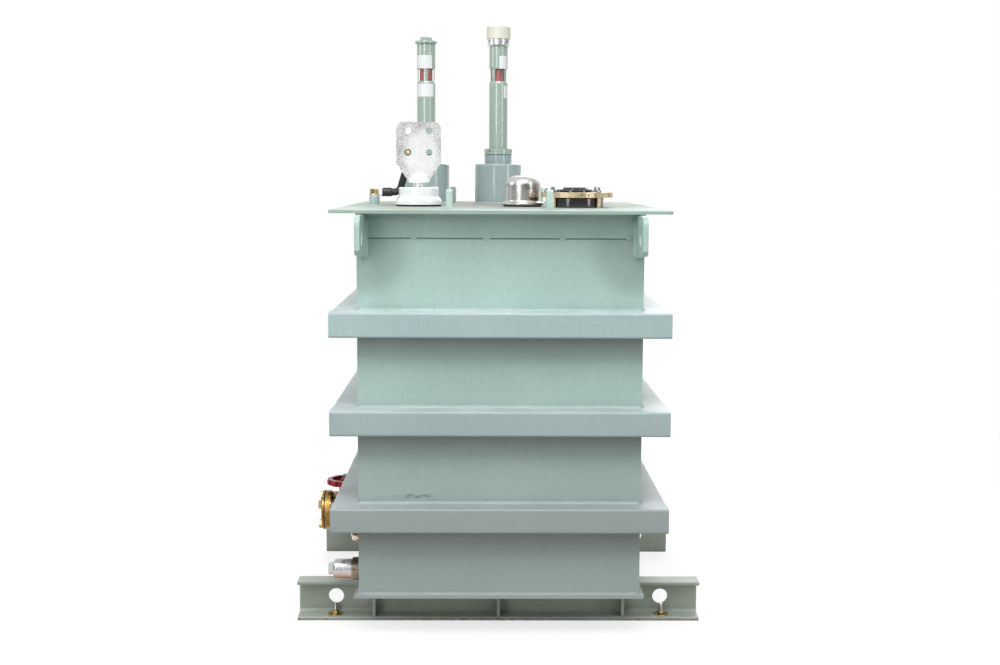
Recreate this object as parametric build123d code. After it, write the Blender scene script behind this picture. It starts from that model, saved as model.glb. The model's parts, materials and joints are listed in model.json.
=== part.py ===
from build123d import *
import os

# Oil-filled power transformer: a welded steel tank with box ribs on two channel skids,
# with the fittings on its lid and the drain valve on its left wall.
# Millimetres, +Z up, X across the tank, -Y towards the terminal end, origin on the ground under its middle.

# Skid channels
channel_length = 816.0
channel_height = 80.0
channel_flange = 43.0
channel_web = 5.0
channel_flange_thickness = 7.5
channel_root_radius = 8.0
channel_toe_radius = 4.0
channel_inset = 102.0
gusset_thickness = 6.0
gusset_pitch = 253.0
gusset_inset = 3.0
gusset_cope_gap = 1.0
skid_hole_from_end = 75.0
web_hole_diameter = 31.0
web_hole_height = 40.0
anchor_hole_diameter = 11.0
anchor_hole_inset = 20.0

# Tank
tank_width = 548.0
tank_depth = 770.0
wall_thickness = 6.0
floor_thickness = 6.0
floor_lip = 8.5
lid_underside = 829.0
collar_height = 48.0
seam_chamfer = 1.5
lid_thickness = 6.0
lid_overhang = 48.0
lid_corner_radius = 5.0

# Box ribs
rib_height = 48.0
rib_depth = 49.5
rib_wall = 3.0
rib_bend_radius = 4.5
rib_lowest = 219.5
top_rib_below_lid = 185.5
rib_rows = 3

# Tank lifting lugs
lug_thickness = 10.0
lug_reach = 125.0
lug_height = 83.0
lug_taper = 12.0
lug_from_corner = 12.0
lug_lid_gap = 2.0
lug_hole_diameter = 36.0
lug_hole_from_tip = 43.0
lug_hole_below_top = 38.0
lug_nose_radius = 18.0
lug_heel_chamfer = 8.0

# Lid lugs
lid_lug_thickness = 12.0
lid_lug_height = 37.5
lid_lug_length = 60.0
lid_lug_corner = 4.0
lid_lug_hole_diameter = 18.0
lid_lug_hole_height = 24.0
front_lid_lug_spread = 97.0
rear_lid_lug_spread = 104.0
lid_lug_shift = -2.0
lid_lug_from_end = 63.0

# Oil-gauge columns
gauge_from_rear = 150.0
left_gauge_from_edge = 155.0
right_gauge_x = 0.0
right_gauge_turn = 53.0
pedestal_diameter = 107.0
pedestal_height = 91.0
pedestal_wall = 5.0
pedestal_edge = 4.0
neck_diameter = 63.0
neck_height = 20.0
collar_gap = 1.5
tube_collar_diameter = 64.0
tube_collar_height = 13.0
tube_diameter = 42.5
tube_wall = 3.0
tube_length = 252.0
window_from_collar = 167.0
window_height = 28.0
window_width = 21.0
window_recess = 1.5
window_blend = 4.0
glass_wall = 2.0
glass_overlap = 12.0
glass_clearance = 0.25
float_clearance = 0.3
float_height = 44.0
float_rim_height = 6.0
left_float_waist = 29.0
right_float_waist = 18.0
cap_flange_diameter = 51.0
cap_flange_height = 7.0
cap_flange_edge = 2.2
cap_knob_diameter = 27.0
cap_knob_height = 8.5
cap_knob_edge = 2.5
ring_diameter = 51.0
ring_height = 16.0
ring_overlap = 4.5
ring_clearance = 0.25
ring_taper = 2.5
breather_diameter = 55.0
breather_height = 28.5
breather_wall = 3.0

# Porcelain bushing and its terminal
bushing_from_edge = 153.0
bushing_from_front = 288.0
bushing_base_diameter = 98.0
bushing_base_height = 8.0
bushing_waist_height = 17.0
bushing_diameter = 84.0
bushing_height = 36.0
bushing_edge = 4.0
bushing_gasket_height = 4.0
bushing_gasket_inset = 1.5
stud_diameter = 25.0
stud_clearance = 0.5
stud_gap = 9.0
stud_edge = 1.5
hub_diameter = 40.0
palm_width = 93.0
palm_thickness = 12.0
palm_rise = 126.0
palm_shoulder = 85.0
palm_corner = 15.0
palm_edge = 4.0
palm_hole_spacing = 44.45
palm_hole_diameter = 14.0
palm_hole_from_top = 18.5

# Earth boss and link
earth_from_edge = 57.5
earth_from_front = 321.0
earth_boss_diameter = 22.0
earth_boss_height = 20.0
link_tab_thickness = 3.0
link_tab_width = 20.0
link_sleeve_diameter = 15.0
link_clearance = 0.8
link_lead = 17.0
link_lift = 9.0
link_elbow_lead = 53.0
link_end_drop = 18.0
link_bend_radius = 15.0
link_crimp_diameter = 18.5
link_crimp_length = 22.0
link_crimp_edge = 4.0
earth_bolt_hole = 13.0

# Pressure dome
dome_from_relief = 107.5
dome_from_front = 300.0
dome_flange_diameter = 91.0
dome_flange_height = 6.0
dome_flange_edge = 2.5
dome_root = 5.0
dome_diameter = 74.0
dome_height = 61.0
dome_shoulder = 20.0
dome_wall = 2.0
dome_gasket_diameter = 80.0
dome_gasket_height = 3.0

# Pressure-relief device
relief_from_edge = 165.5
relief_from_front = 255.0
relief_base_diameter = 119.0
relief_base_height = 20.5
relief_base_edge = 2.0
relief_ring_diameter = 140.0
relief_ring_thickness = 10.5
relief_ring_bore = 90.0
relief_ring_sides = 24
relief_tab_length = 7.0
relief_tab_width = 30.0
relief_leg_circle = 130.0
relief_leg_diameter = 9.0
relief_legs_count = 4
relief_cap_diameter = 78.0
relief_cap_height = 6.0
relief_cap_edge = 2.0
relief_crown_diameter = 50.0
relief_crown_height = 4.0

# Drain valve on the left wall
valve_y = 115.0
valve_above_floor = 47.0
neck_pipe_diameter = 40.0
neck_flange_diameter = 64.0
neck_flange_thickness = 8.0
valve_stem_reach = 74.0
valve_inlet_reach = 30.0
valve_body_diameter = 58.0
valve_barrel_diameter = 48.0
valve_barrel_edge = 3.0
valve_flange_diameter = 90.0
valve_flange_thickness = 12.0
valve_outlet_reach = 44.5
bonnet_diameter = 32.0
bonnet_nut_flats = 27.0
bonnet_nut_height = 8.0
blank_gasket_gap = 2.5
blank_thickness = 5.0
blank_edge = 1.5
stem_diameter = 8.0
stem_clearance = 0.05
stem_depth = 30.0
wheel_below_rib = 12.0
wheel_diameter = 86.0
wheel_thickness = 13.0
wheel_edge = 4.0
wheel_rim = 8.0
wheel_web = 6.0
wheel_hub_diameter = 22.0
wheel_hub_height = 14.0
wheel_flute_count = 10
wheel_flute_diameter = 16.0
wheel_flute_offset = 2.5
wheel_hole_count = 5
wheel_hole_diameter = 13.0
wheel_hole_circle = 42.0
wheel_gap = 6.0

# Drain plug and sampling plug on the left wall
plug_from_front = 70.0
plug_z = 118.0
plug_collar_diameter = 45.0
plug_collar_length = 18.0
plug_body_diameter = 38.0
plug_body_length = 38.0
plug_body_edge = 6.0
plug_square = 20.0
plug_square_length = 10.0
sampling_from_front = 95.0
sampling_z = 176.0
sampling_diameter = 20.0
sampling_length = 12.0
sampling_flats = 13.0
sampling_head = 9.0

# Heights and faces that follow from the sizes above
floor_top = channel_height + floor_thickness
collar_bottom = lid_underside - collar_height
lid_top = lid_underside + lid_thickness
half_width = tank_width / 2
half_depth = tank_depth / 2
lid_edge = half_width + lid_overhang
channel_tip = half_depth - channel_inset
skid_hole_x = channel_length / 2 - skid_hole_from_end
rib_pitch = (lid_underside - top_rib_below_lid - rib_height - rib_lowest) / (rib_rows - 1)
lug_x = half_width - lug_from_corner
lid_lug_y = half_depth - lid_lug_from_end
gauge_y = half_depth - gauge_from_rear
left_gauge_x = left_gauge_from_edge - lid_edge
bushing_x = bushing_from_edge - lid_edge
bushing_y = bushing_from_front - half_depth
earth_x = earth_from_edge - lid_edge
earth_y = earth_from_front - half_depth
relief_x = lid_edge - relief_from_edge
relief_y = relief_from_front - half_depth
dome_x = relief_x - dome_from_relief
dome_y = dome_from_front - half_depth
plug_y = plug_from_front - half_depth
sampling_y = sampling_from_front - half_depth
neck_top = lid_top + pedestal_height + neck_height
tube_bottom = neck_top + collar_gap
tube_top = tube_bottom + tube_length
tube_bore = tube_diameter / 2 - tube_wall
ring_bottom = tube_top - ring_overlap
ring_top = ring_bottom + ring_height
window_bottom = tube_bottom + window_from_collar
window_middle = window_bottom + window_height / 2
porcelain_bottom = lid_top + bushing_gasket_height
porcelain_top = porcelain_bottom + bushing_height
palm_bottom = porcelain_top + stud_gap
palm_top = palm_bottom + palm_rise
palm_hole_rows = (palm_top - palm_hole_from_top - palm_hole_spacing, palm_top - palm_hole_from_top)
palm_back = bushing_y + palm_thickness / 2
link_y = palm_back + link_clearance + link_sleeve_diameter / 2
earth_top = lid_top + earth_boss_height
relief_ring_bottom = lid_top + relief_base_height
relief_ring_top = relief_ring_bottom + relief_ring_thickness
valve_z = floor_top + valve_above_floor
stem_x = -half_width - valve_stem_reach
outlet_face = stem_x - valve_outlet_reach
wheel_bottom = rib_lowest - wheel_below_rib - wheel_hub_height
bonnet_top = wheel_bottom - wheel_gap


def block(x, y, z):
    """Box between two limits on each axis."""
    size = [b - a for a, b in (x, y, z)]
    middle = [(a + b) / 2 for a, b in (x, y, z)]
    return Pos(*middle) * Box(*size)


def disc(diameter, bottom, top, x=0.0, y=0.0):
    """Upright cylinder between two heights."""
    return Pos(x, y, (bottom + top) / 2) * Cylinder(diameter / 2, top - bottom)


def rod_x(diameter, x_from, x_to, y, z):
    """Cylinder along X between two places."""
    return Pos((x_from + x_to) / 2, y, z) * Rot(0, 90, 0) * Cylinder(diameter / 2, abs(x_to - x_from))


def turned(outline):
    """Solid of revolution about Z from a closed outline of (radius, height) lines."""
    return revolve(Plane.XZ * make_face(outline), Axis.Z)


def corner(face, x, y):
    """The vertex of a flat face nearest to a point of its own plane."""
    return min(face.vertices(), key=lambda v: (v.X - x) ** 2 + (v.Y - y) ** 2)


def save(shape, node):
    """Writes one named piece."""
    export_step(shape, f"parts/{node}.step")


def skid_channel():
    """Front skid: a C-channel across the tank, open to the front, with its web and anchor holes."""
    inner = channel_flange - channel_web
    low, high = channel_flange_thickness, channel_height - channel_flange_thickness
    outline = Polyline((0, 0), (channel_flange, 0), (channel_flange, channel_height), (0, channel_height),
                       (0, high), (inner, high), (inner, low), (0, low), close=True)
    section = make_face(outline)
    section = fillet([corner(section, inner, low), corner(section, inner, high)], channel_root_radius)
    section = fillet([corner(section, 0, low), corner(section, 0, high)], channel_toe_radius)
    channel = extrude(Plane.YZ * section, channel_length / 2, both=True)
    channel = Pos(0, -channel_tip, 0) * channel
    for x in (-skid_hole_x, skid_hole_x):
        web_hole = Pos(x, -channel_tip + inner, web_hole_height) * Rot(90, 0, 0)
        channel -= web_hole * Cylinder(web_hole_diameter / 2, 4 * channel_web)
        anchor = Pos(x, -channel_tip + anchor_hole_inset, 0)
        channel -= anchor * Cylinder(anchor_hole_diameter / 2, 3 * channel_flange_thickness)
    return channel


def skid_gussets():
    """Plates that stiffen the front skid between its flanges, coped round the root radii."""
    back = -channel_tip + channel_flange - channel_web
    plate = block((-gusset_thickness / 2, gusset_thickness / 2), (-channel_tip + gusset_inset, back),
                  (channel_flange_thickness, channel_height - channel_flange_thickness))
    copes = [e for e in plate.edges().filter_by(Axis.X) if abs(e.center().Y - back) < 0.01]
    plate = chamfer(copes, channel_root_radius + gusset_cope_gap)
    return [Pos(x, 0, 0) * plate for x in (-gusset_pitch, 0, gusset_pitch)]


def tank_wall_end():
    """Front wall plate, the full width of the tank."""
    inner = half_depth - wall_thickness
    return block((-half_width, half_width), (-half_depth, -inner), (floor_top, collar_bottom))


def tank_wall_side():
    """Right wall plate, between the end walls."""
    inner = half_depth - wall_thickness
    return block((half_width - wall_thickness, half_width), (-inner, inner), (floor_top, collar_bottom))


def collar_plate(wall, face):
    """Collar plate that carries a wall on up to the lid, with a groove for the seam on its outer face."""
    box = wall.bounding_box()
    plate = block((box.min.X, box.max.X), (box.min.Y, box.max.Y), (collar_bottom, lid_underside))
    outer = plate.faces().sort_by(face)[-1]
    return chamfer(outer.edges().sort_by(Axis.Z)[0], seam_chamfer)


def box_rib(length, end_plate):
    """Folded box rib along X, open towards +Y where it meets the wall, its ends closed by plates."""
    shell = block((-length / 2, length / 2), (-rib_depth, 0), (0, rib_height))
    bends = [e for e in shell.edges().filter_by(Axis.X) if e.center().Y < -rib_depth / 2]
    shell = fillet(bends, rib_bend_radius)
    inside = length / 2 - end_plate
    hollow = block((-inside, inside), (-rib_depth + rib_wall, 0), (rib_wall, rib_height - rib_wall))
    bends = [e for e in hollow.edges().filter_by(Axis.X) if e.center().Y < -rib_depth / 2]
    return shell - fillet(bends, rib_bend_radius - rib_wall)


def rib_rows_of(rib):
    """The same rib at each row's height."""
    return [Pos(0, 0, rib_lowest + row * rib_pitch) * rib for row in range(rib_rows)]


def lifting_lug():
    """Plate lug that stands out from the front wall under the lid, tapered below, with its shackle hole."""
    top = lid_underside - lug_lid_gap
    tip = -half_depth - lug_reach
    low, tip_low = top - lug_height, top - lug_height + lug_taper
    face = make_face(Polyline((-half_depth, low), (-half_depth, top), (tip, top), (tip, tip_low), close=True))
    face = fillet([corner(face, tip, top)], lug_nose_radius)
    face = chamfer([corner(face, tip, tip_low)], lug_heel_chamfer)
    face -= Pos(tip + lug_hole_from_tip, top - lug_hole_below_top) * Circle(lug_hole_diameter / 2)
    return extrude(Plane.YZ * face, lug_thickness / 2, both=True)


def lid_lug():
    """Small plate lug on the lid, its hole facing sideways."""
    half, high = lid_lug_length / 2, lid_lug_height
    face = make_face(Polyline((-half, 0), (half, 0), (half, high), (-half, high), close=True))
    tops = [corner(face, x, high) for x in (-half, half)]
    face = fillet(tops, lid_lug_corner)
    face -= Pos(0, lid_lug_hole_height) * Circle(lid_lug_hole_diameter / 2)
    return Pos(0, 0, lid_top) * extrude(Plane.YZ * face, lid_lug_thickness / 2, both=True)


def gauge_pedestal():
    """Hollow turret on the lid with a narrower neck that the gauge tube stands on."""
    top = lid_top + pedestal_height
    outer, neck = pedestal_diameter / 2, neck_diameter / 2
    body = turned(Polyline((tube_bore, top - pedestal_wall), (outer - pedestal_wall, top - pedestal_wall),
                           (outer - pedestal_wall, lid_top), (outer, lid_top), (outer, top), (neck, top),
                           (neck, neck_top), (tube_bore, neck_top), close=True))
    rims = [e for e in body.edges().filter_by(GeomType.CIRCLE) if abs(e.radius - outer) < 0.01]
    return fillet(ShapeList(rims).sort_by(Axis.Z)[-1], pedestal_edge)


def gauge_tube():
    """Gauge tube with a foot collar on a gasket step and a recessed band of four windows."""
    outer, foot = tube_diameter / 2, tube_collar_diameter / 2
    waist = outer - window_recess
    low, high = window_bottom, window_bottom + window_height
    step, collar_top = foot - 2 * collar_gap, tube_bottom + tube_collar_height
    tube = turned(Polyline((tube_bore, neck_top), (step, neck_top), (step, tube_bottom), (foot, tube_bottom),
                           (foot, collar_top), (outer, collar_top), (outer, low - window_blend), (waist, low),
                           (waist, high), (outer, high + window_blend), (outer, tube_top),
                           (tube_bore, tube_top), close=True))
    for turn in (45, 135):
        tube -= Pos(0, 0, window_middle) * Rot(0, 0, turn) * Box(window_width, tube_diameter, window_height)
    return tube


def gauge_glass():
    """Glass sleeve inside the windows."""
    outer = tube_bore - glass_clearance
    low, high = window_bottom - glass_overlap, window_bottom + window_height + glass_overlap
    return disc(2 * outer, low, high) - disc(2 * (outer - glass_wall), low, high)


def gauge_float(waist):
    """Level float that shows through the glass: a slim body between two rims that guide it."""
    rim = tube_bore - glass_clearance - glass_wall - float_clearance
    low, high = window_middle - float_height / 2, window_middle + float_height / 2
    body = disc(waist, low, high)
    for bottom in (low, high - float_rim_height):
        body += disc(2 * rim, bottom, bottom + float_rim_height)
    return body


def gauge_knob_cap():
    """Closing cap of the left gauge: a rounded flange and a knob."""
    seat = tube_top + cap_flange_height
    flange = disc(cap_flange_diameter, tube_top, seat)
    flange = fillet(flange.edges().filter_by(GeomType.CIRCLE), cap_flange_edge)
    knob = disc(cap_knob_diameter, seat, seat + cap_knob_height)
    return flange + fillet(knob.edges().group_by(Axis.Z)[-1], cap_knob_edge)


def gauge_ring():
    """Clamp ring slipped over the top of the right gauge tube, tapered at its lower edge."""
    ring = disc(ring_diameter, ring_bottom, ring_top)
    ring = chamfer(ring.edges().group_by(Axis.Z)[0], ring_taper)
    ring -= disc(tube_diameter + 2 * ring_clearance, ring_bottom, tube_top)
    return ring - disc(2 * tube_bore, tube_top, ring_top)


def breather_cap():
    """Moulded cup over the right gauge's ring."""
    low, high = ring_top, ring_top + breather_height
    cup = disc(breather_diameter, low, high)
    cup = fillet(cup.edges().group_by(Axis.Z)[-1], breather_wall)
    return cup - disc(breather_diameter - 2 * breather_wall, low, high - breather_wall)


def bushing_porcelain():
    """Glazed porcelain cap with a flared foot, bored for the terminal stud."""
    bore = stud_diameter / 2 + stud_clearance
    foot, waist = bushing_base_diameter / 2, bushing_diameter / 2
    low, high = porcelain_bottom, porcelain_top
    body = turned(Polyline((bore, low), (foot, low), (foot, low + bushing_base_height),
                           (waist, low + bushing_waist_height), (waist, high), (bore, high), close=True))
    rims = ShapeList([e for e in body.edges().filter_by(GeomType.CIRCLE) if e.radius > bore + bushing_edge])
    return fillet(rims.sort_by(Axis.Z)[1:], bushing_edge)


def terminal_stud():
    """Round stud that carries the terminal through the porcelain."""
    stud = disc(stud_diameter, lid_top, palm_bottom + hub_diameter / 4)
    return chamfer(stud.edges().group_by(Axis.Z)[-1], stud_edge)


def terminal_palm():
    """Cast terminal: a domed hub on the stud and a flat palm with four holes."""
    half, hub = palm_width / 2, hub_diameter / 2
    shoulder = palm_top - palm_shoulder
    outline = Polyline((-hub, palm_bottom), (hub, palm_bottom), (half, shoulder), (half, palm_top),
                       (-half, palm_top), (-half, shoulder), close=True)
    face = make_face(outline)
    face = fillet([corner(face, -half, palm_top), corner(face, half, palm_top)], palm_corner)
    palm = extrude(Plane.XZ * face, palm_thickness / 2, both=True)
    for flat in (palm.faces().sort_by(Axis.Y)[0], palm.faces().sort_by(Axis.Y)[-1]):
        palm = chamfer([e for e in flat.edges() if e.center().Z > palm_bottom + palm_edge], palm_edge)
    for x in (-palm_hole_spacing / 2, palm_hole_spacing / 2):
        for z in palm_hole_rows:
            palm -= Pos(x, 0, z) * Rot(90, 0, 0) * Cylinder(palm_hole_diameter / 2, 2 * palm_thickness)
    dome = Pos(0, 0, palm_bottom) * Sphere(hub)
    dome &= block((-hub, hub), (-hub, hub), (palm_bottom, palm_bottom + hub))
    stud_socket = disc(stud_diameter + 2 * stud_clearance, palm_bottom, palm_bottom + hub_diameter / 4)
    return palm + dome - stud_socket


def earth_link():
    """Sleeved link from the earth boss to the lower left hole of the palm, with a crimp and flat end tabs."""
    hole_x, hole_z = bushing_x - palm_hole_spacing / 2, palm_hole_rows[0]
    half = link_tab_width / 2
    start, level = earth_x + link_lead, earth_top + link_lift
    path = FilletPolyline((start, earth_y, level), (earth_x + link_elbow_lead, earth_y, level),
                          (hole_x, link_y, hole_z - link_end_drop), radius=link_bend_radius)
    sleeve = sweep((path ^ 0) * Circle(link_sleeve_diameter / 2), path)
    crimp = rod_x(link_crimp_diameter, start, start + link_crimp_length, earth_y, level)
    sleeve += fillet(crimp.edges().filter_by(GeomType.CIRCLE), link_crimp_edge)
    tab_top = earth_top + link_tab_thickness
    low_tab = disc(link_tab_width, earth_top, tab_top, earth_x, earth_y)
    tongue_end = start + link_crimp_edge + link_tab_thickness
    low_tab += block((earth_x, tongue_end), (earth_y - half / 2, earth_y + half / 2), (earth_top, tab_top))
    low_tab -= disc(earth_bolt_hole, earth_top, tab_top, earth_x, earth_y)
    high_tab = block((hole_x - half, hole_x + half), (palm_back, palm_back + link_tab_thickness),
                     (hole_z - link_end_drop - half, hole_z + half))
    bolt_hole = Pos(hole_x, palm_back, hole_z) * Rot(90, 0, 0)
    high_tab -= bolt_hole * Cylinder(palm_hole_diameter / 2, 3 * link_tab_thickness)
    return low_tab + sleeve + high_tab


def pressure_dome():
    """Pressed cup with a round shoulder, flared out into a rolled flange."""
    low = lid_top + dome_gasket_height
    high = low + dome_height
    rim, side, inside = dome_flange_diameter / 2, dome_diameter / 2, dome_diameter / 2 - dome_wall
    cup = disc(2 * side, low, high)
    cup = fillet(cup.edges().group_by(Axis.Z)[-1], dome_shoulder)
    flange_top = low + dome_flange_height
    flange = disc(2 * rim, low, flange_top)
    cup += fillet(flange.edges().filter_by(GeomType.CIRCLE), dome_flange_edge)
    circles = [e for e in cup.edges().filter_by(GeomType.CIRCLE) if abs(e.radius - side) < 0.01]
    cup = fillet([e for e in circles if abs(e.center().Z - flange_top) < 0.01], dome_root)
    hollow = disc(2 * inside, low, high - dome_wall)
    return cup - fillet(hollow.edges().group_by(Axis.Z)[-1], dome_shoulder - dome_wall)


def relief_base():
    """Round body of the relief device."""
    body = disc(relief_base_diameter, lid_top, relief_ring_bottom)
    return chamfer(body.edges().filter_by(GeomType.CIRCLE), relief_base_edge)


def relief_ring():
    """Faceted clamp ring with a tab on its right."""
    ring = extrude(RegularPolygon(relief_ring_diameter / 2, relief_ring_sides), relief_ring_thickness)
    reach = relief_ring_diameter / 2 + relief_tab_length
    ring += block((0, reach), (-relief_tab_width / 2, relief_tab_width / 2), (0, relief_ring_thickness))
    ring -= Cylinder(relief_ring_bore / 2, 3 * relief_ring_thickness)
    return Pos(0, 0, relief_ring_bottom) * ring


def relief_legs():
    """Spacer legs that hold the ring over the lid."""
    leg = disc(relief_leg_diameter, lid_top, relief_ring_bottom)
    return PolarLocations(relief_leg_circle / 2, relief_legs_count, start_angle=45) * leg


def relief_cap():
    """Low cap inside the ring, standing on the base, with a raised crown."""
    cap_top = relief_ring_top + relief_cap_height
    cap = disc(relief_cap_diameter, relief_ring_bottom, cap_top)
    cap = chamfer(cap.edges().group_by(Axis.Z)[-1], relief_cap_edge)
    crown = disc(relief_crown_diameter, cap_top, cap_top + relief_crown_height)
    return cap + chamfer(crown.edges().group_by(Axis.Z)[-1], relief_cap_edge)


def drain_neck():
    """Pipe stub out of the left wall to the valve, with a welded pad on the wall."""
    stub = rod_x(neck_pipe_diameter, -half_width, stem_x + valve_inlet_reach, valve_y, valve_z)
    pad_face = -half_width - neck_flange_thickness
    return stub + rod_x(neck_flange_diameter, -half_width, pad_face, valve_y, valve_z)


def valve_body():
    """Cast valve body: a round chamber on a flanged barrel, and a bonnet with a gland nut above."""
    barrel = rod_x(valve_barrel_diameter, outlet_face, stem_x + valve_inlet_reach, valve_y, valve_z)
    barrel = fillet(barrel.edges().filter_by(GeomType.CIRCLE).sort_by(Axis.X)[-1], valve_barrel_edge)
    body = barrel + Pos(stem_x, valve_y, valve_z) * Sphere(valve_body_diameter / 2)
    body += rod_x(valve_flange_diameter, outlet_face + valve_flange_thickness, outlet_face, valve_y, valve_z)
    body += disc(bonnet_diameter, valve_z, bonnet_top - bonnet_nut_height, stem_x, valve_y)
    nut = extrude(RegularPolygon(bonnet_nut_flats / 2, 6, major_radius=False), bonnet_nut_height)
    body += Pos(stem_x, valve_y, bonnet_top - bonnet_nut_height) * nut
    bore = stem_diameter + 2 * stem_clearance
    return body - disc(bore, bonnet_top - stem_depth, bonnet_top, stem_x, valve_y)


def blank_flange():
    """Plate that closes the valve's outlet, with the step that presses on its gasket."""
    face = outlet_face - blank_gasket_gap
    plate = rod_x(valve_flange_diameter, face, face - blank_thickness, valve_y, valve_z)
    plate = chamfer(plate.edges().filter_by(GeomType.CIRCLE).sort_by(Axis.X)[0], blank_edge)
    return plate + rod_x(valve_barrel_diameter, outlet_face, face, valve_y, valve_z)


def handwheel():
    """Fluted handwheel with a pierced, dished web, a low hub and the stem that turns in the bonnet."""
    wheel_top = wheel_bottom + wheel_thickness
    wheel = disc(wheel_diameter, wheel_bottom, wheel_top)
    wheel = fillet(wheel.edges().filter_by(GeomType.CIRCLE), wheel_edge)
    dish = wheel_diameter - 2 * wheel_rim - wheel_flute_diameter / 2
    wheel -= disc(dish, wheel_bottom + wheel_web, wheel_top)
    flute = disc(wheel_flute_diameter, wheel_bottom, wheel_top)
    wheel -= PolarLocations(wheel_diameter / 2 + wheel_flute_offset, wheel_flute_count) * flute
    hole = disc(wheel_hole_diameter, wheel_bottom, wheel_top)
    wheel -= PolarLocations(wheel_hole_circle / 2, wheel_hole_count) * hole
    hub = disc(wheel_hub_diameter, wheel_bottom, wheel_bottom + wheel_hub_height)
    wheel += fillet(hub.edges().group_by(Axis.Z)[-1], wheel_edge)
    wheel += disc(stem_diameter, bonnet_top - stem_depth + wheel_gap, wheel_bottom)
    return Pos(stem_x, valve_y, 0) * wheel


def drain_plug():
    """Turned drain plug on the left wall: collar, round body and a square to turn it by."""
    collar_end = -half_width - plug_collar_length
    body_end = collar_end - plug_body_length
    plug = rod_x(plug_body_diameter, collar_end, body_end, plug_y, plug_z)
    plug = fillet(plug.edges().filter_by(GeomType.CIRCLE).sort_by(Axis.X)[0], plug_body_edge)
    plug += rod_x(plug_collar_diameter, -half_width, collar_end, plug_y, plug_z)
    half = plug_square / 2
    return plug + block((body_end - plug_square_length, body_end), (plug_y - half, plug_y + half),
                        (plug_z - half, plug_z + half))


def sampling_plug():
    """Small sampling plug: a round boss and a hexagon head."""
    boss_end = -half_width - sampling_length
    boss = rod_x(sampling_diameter, -half_width, boss_end, sampling_y, sampling_z)
    head = extrude(RegularPolygon(sampling_flats / 2, 6, major_radius=False), sampling_head)
    return boss + Pos(boss_end, sampling_y, sampling_z) * Rot(0, -90, 0) * head


def front_and_rear(shape):
    """A piece and its mirror image across the tank's middle."""
    return shape, mirror(shape, about=Plane.XZ)


def right_and_left(shape):
    """A piece on the right and its mirror image on the left."""
    return shape, mirror(shape, about=Plane.YZ)


def group(shapes):
    """Like pieces that share one node."""
    return shapes[0] + shapes[1:]


# Skids and tank
front_skid, rear_skid = front_and_rear(skid_channel())
save(front_skid, "front_channel")
save(rear_skid, "rear_channel")
front_gussets = skid_gussets()
save(group(front_gussets), "front_gussets")
save(group([mirror(plate, about=Plane.XZ) for plate in front_gussets]), "rear_gussets")
floor_reach = [(-half - floor_lip, half + floor_lip) for half in (half_width, half_depth)]
save(block(*floor_reach, (channel_height, floor_top)), "floor_plate")
front_wall, rear_wall = front_and_rear(tank_wall_end())
right_wall, left_wall = right_and_left(tank_wall_side())
for wall, node in ((front_wall, "front"), (rear_wall, "rear"), (left_wall, "left"), (right_wall, "right")):
    save(wall, f"{node}_wall")
save(group(front_and_rear(collar_plate(front_wall, -Axis.Y))), "end_collar_plates")
save(group(right_and_left(collar_plate(right_wall, Axis.X))), "side_collar_plates")

# Ribs: the end ribs run past the corners, and the side ribs butt against them
end_rib = Pos(0, -half_depth, 0) * box_rib(tank_width + 2 * rib_depth, rib_wall)
side_rib = Pos(half_width, 0, 0) * Rot(0, 0, 90) * box_rib(tank_depth, 0)
for ribs, node in zip(front_and_rear(end_rib) + right_and_left(side_rib), ("front", "rear", "right", "left")):
    save(group(rib_rows_of(ribs)), f"{node}_ribs")

# Lid and lugs
lid_reach = [(-half - lid_overhang, half + lid_overhang) for half in (half_width, half_depth)]
lid = block(*lid_reach, (lid_underside, lid_top))
save(fillet(lid.edges().filter_by(Axis.Z), lid_corner_radius), "lid_plate")
front_lugs = group([Pos(x, 0, 0) * lifting_lug() for x in (-lug_x, lug_x)])
for lugs, node in zip(front_and_rear(front_lugs), ("front", "rear")):
    save(lugs, f"{node}_lifting_lugs")
lid_lug_rows = ((-lid_lug_y, front_lid_lug_spread), (lid_lug_y, rear_lid_lug_spread))
lid_lug_places = [(lid_lug_shift + hand * spread, y) for y, spread in lid_lug_rows for hand in (-1, 1)]
save(group([Pos(x, y, 0) * lid_lug() for x, y in lid_lug_places]), "lid_lugs")

# Gauge columns, with the right one turned so that a window faces nearly to the front
gauges = ((left_gauge_x, 0, left_float_waist, "left"),
          (right_gauge_x, right_gauge_turn, right_float_waist, "right"))
for x, turn, waist, side in gauges:
    place = Pos(x, gauge_y, 0) * Rot(0, 0, turn)
    save(place * gauge_pedestal(), f"{side}_gauge_pedestal")
    save(place * gauge_tube(), f"{side}_gauge_tube")
    save(place * gauge_glass(), f"{side}_gauge_glass")
    save(place * gauge_float(waist), f"{side}_gauge_float")
save(Pos(left_gauge_x, gauge_y, 0) * gauge_knob_cap(), "left_gauge_cap")
save(Pos(right_gauge_x, gauge_y, 0) * gauge_ring(), "right_gauge_ring")
save(Pos(right_gauge_x, gauge_y, 0) * breather_cap(), "right_gauge_cap")

# Bushing, terminal and earth
bushing_place = Pos(bushing_x, bushing_y, 0)
gasket = disc(bushing_base_diameter - 2 * bushing_gasket_inset, lid_top, porcelain_bottom)
gasket -= disc(stud_diameter + 2 * stud_clearance, lid_top, porcelain_bottom)
save(bushing_place * gasket, "bushing_gasket")
save(bushing_place * bushing_porcelain(), "bushing_porcelain")
save(bushing_place * terminal_stud(), "terminal_stud")
save(bushing_place * terminal_palm(), "terminal_palm")
save(disc(earth_boss_diameter, lid_top, earth_top, earth_x, earth_y), "earth_boss")
save(earth_link(), "earth_link")

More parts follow.
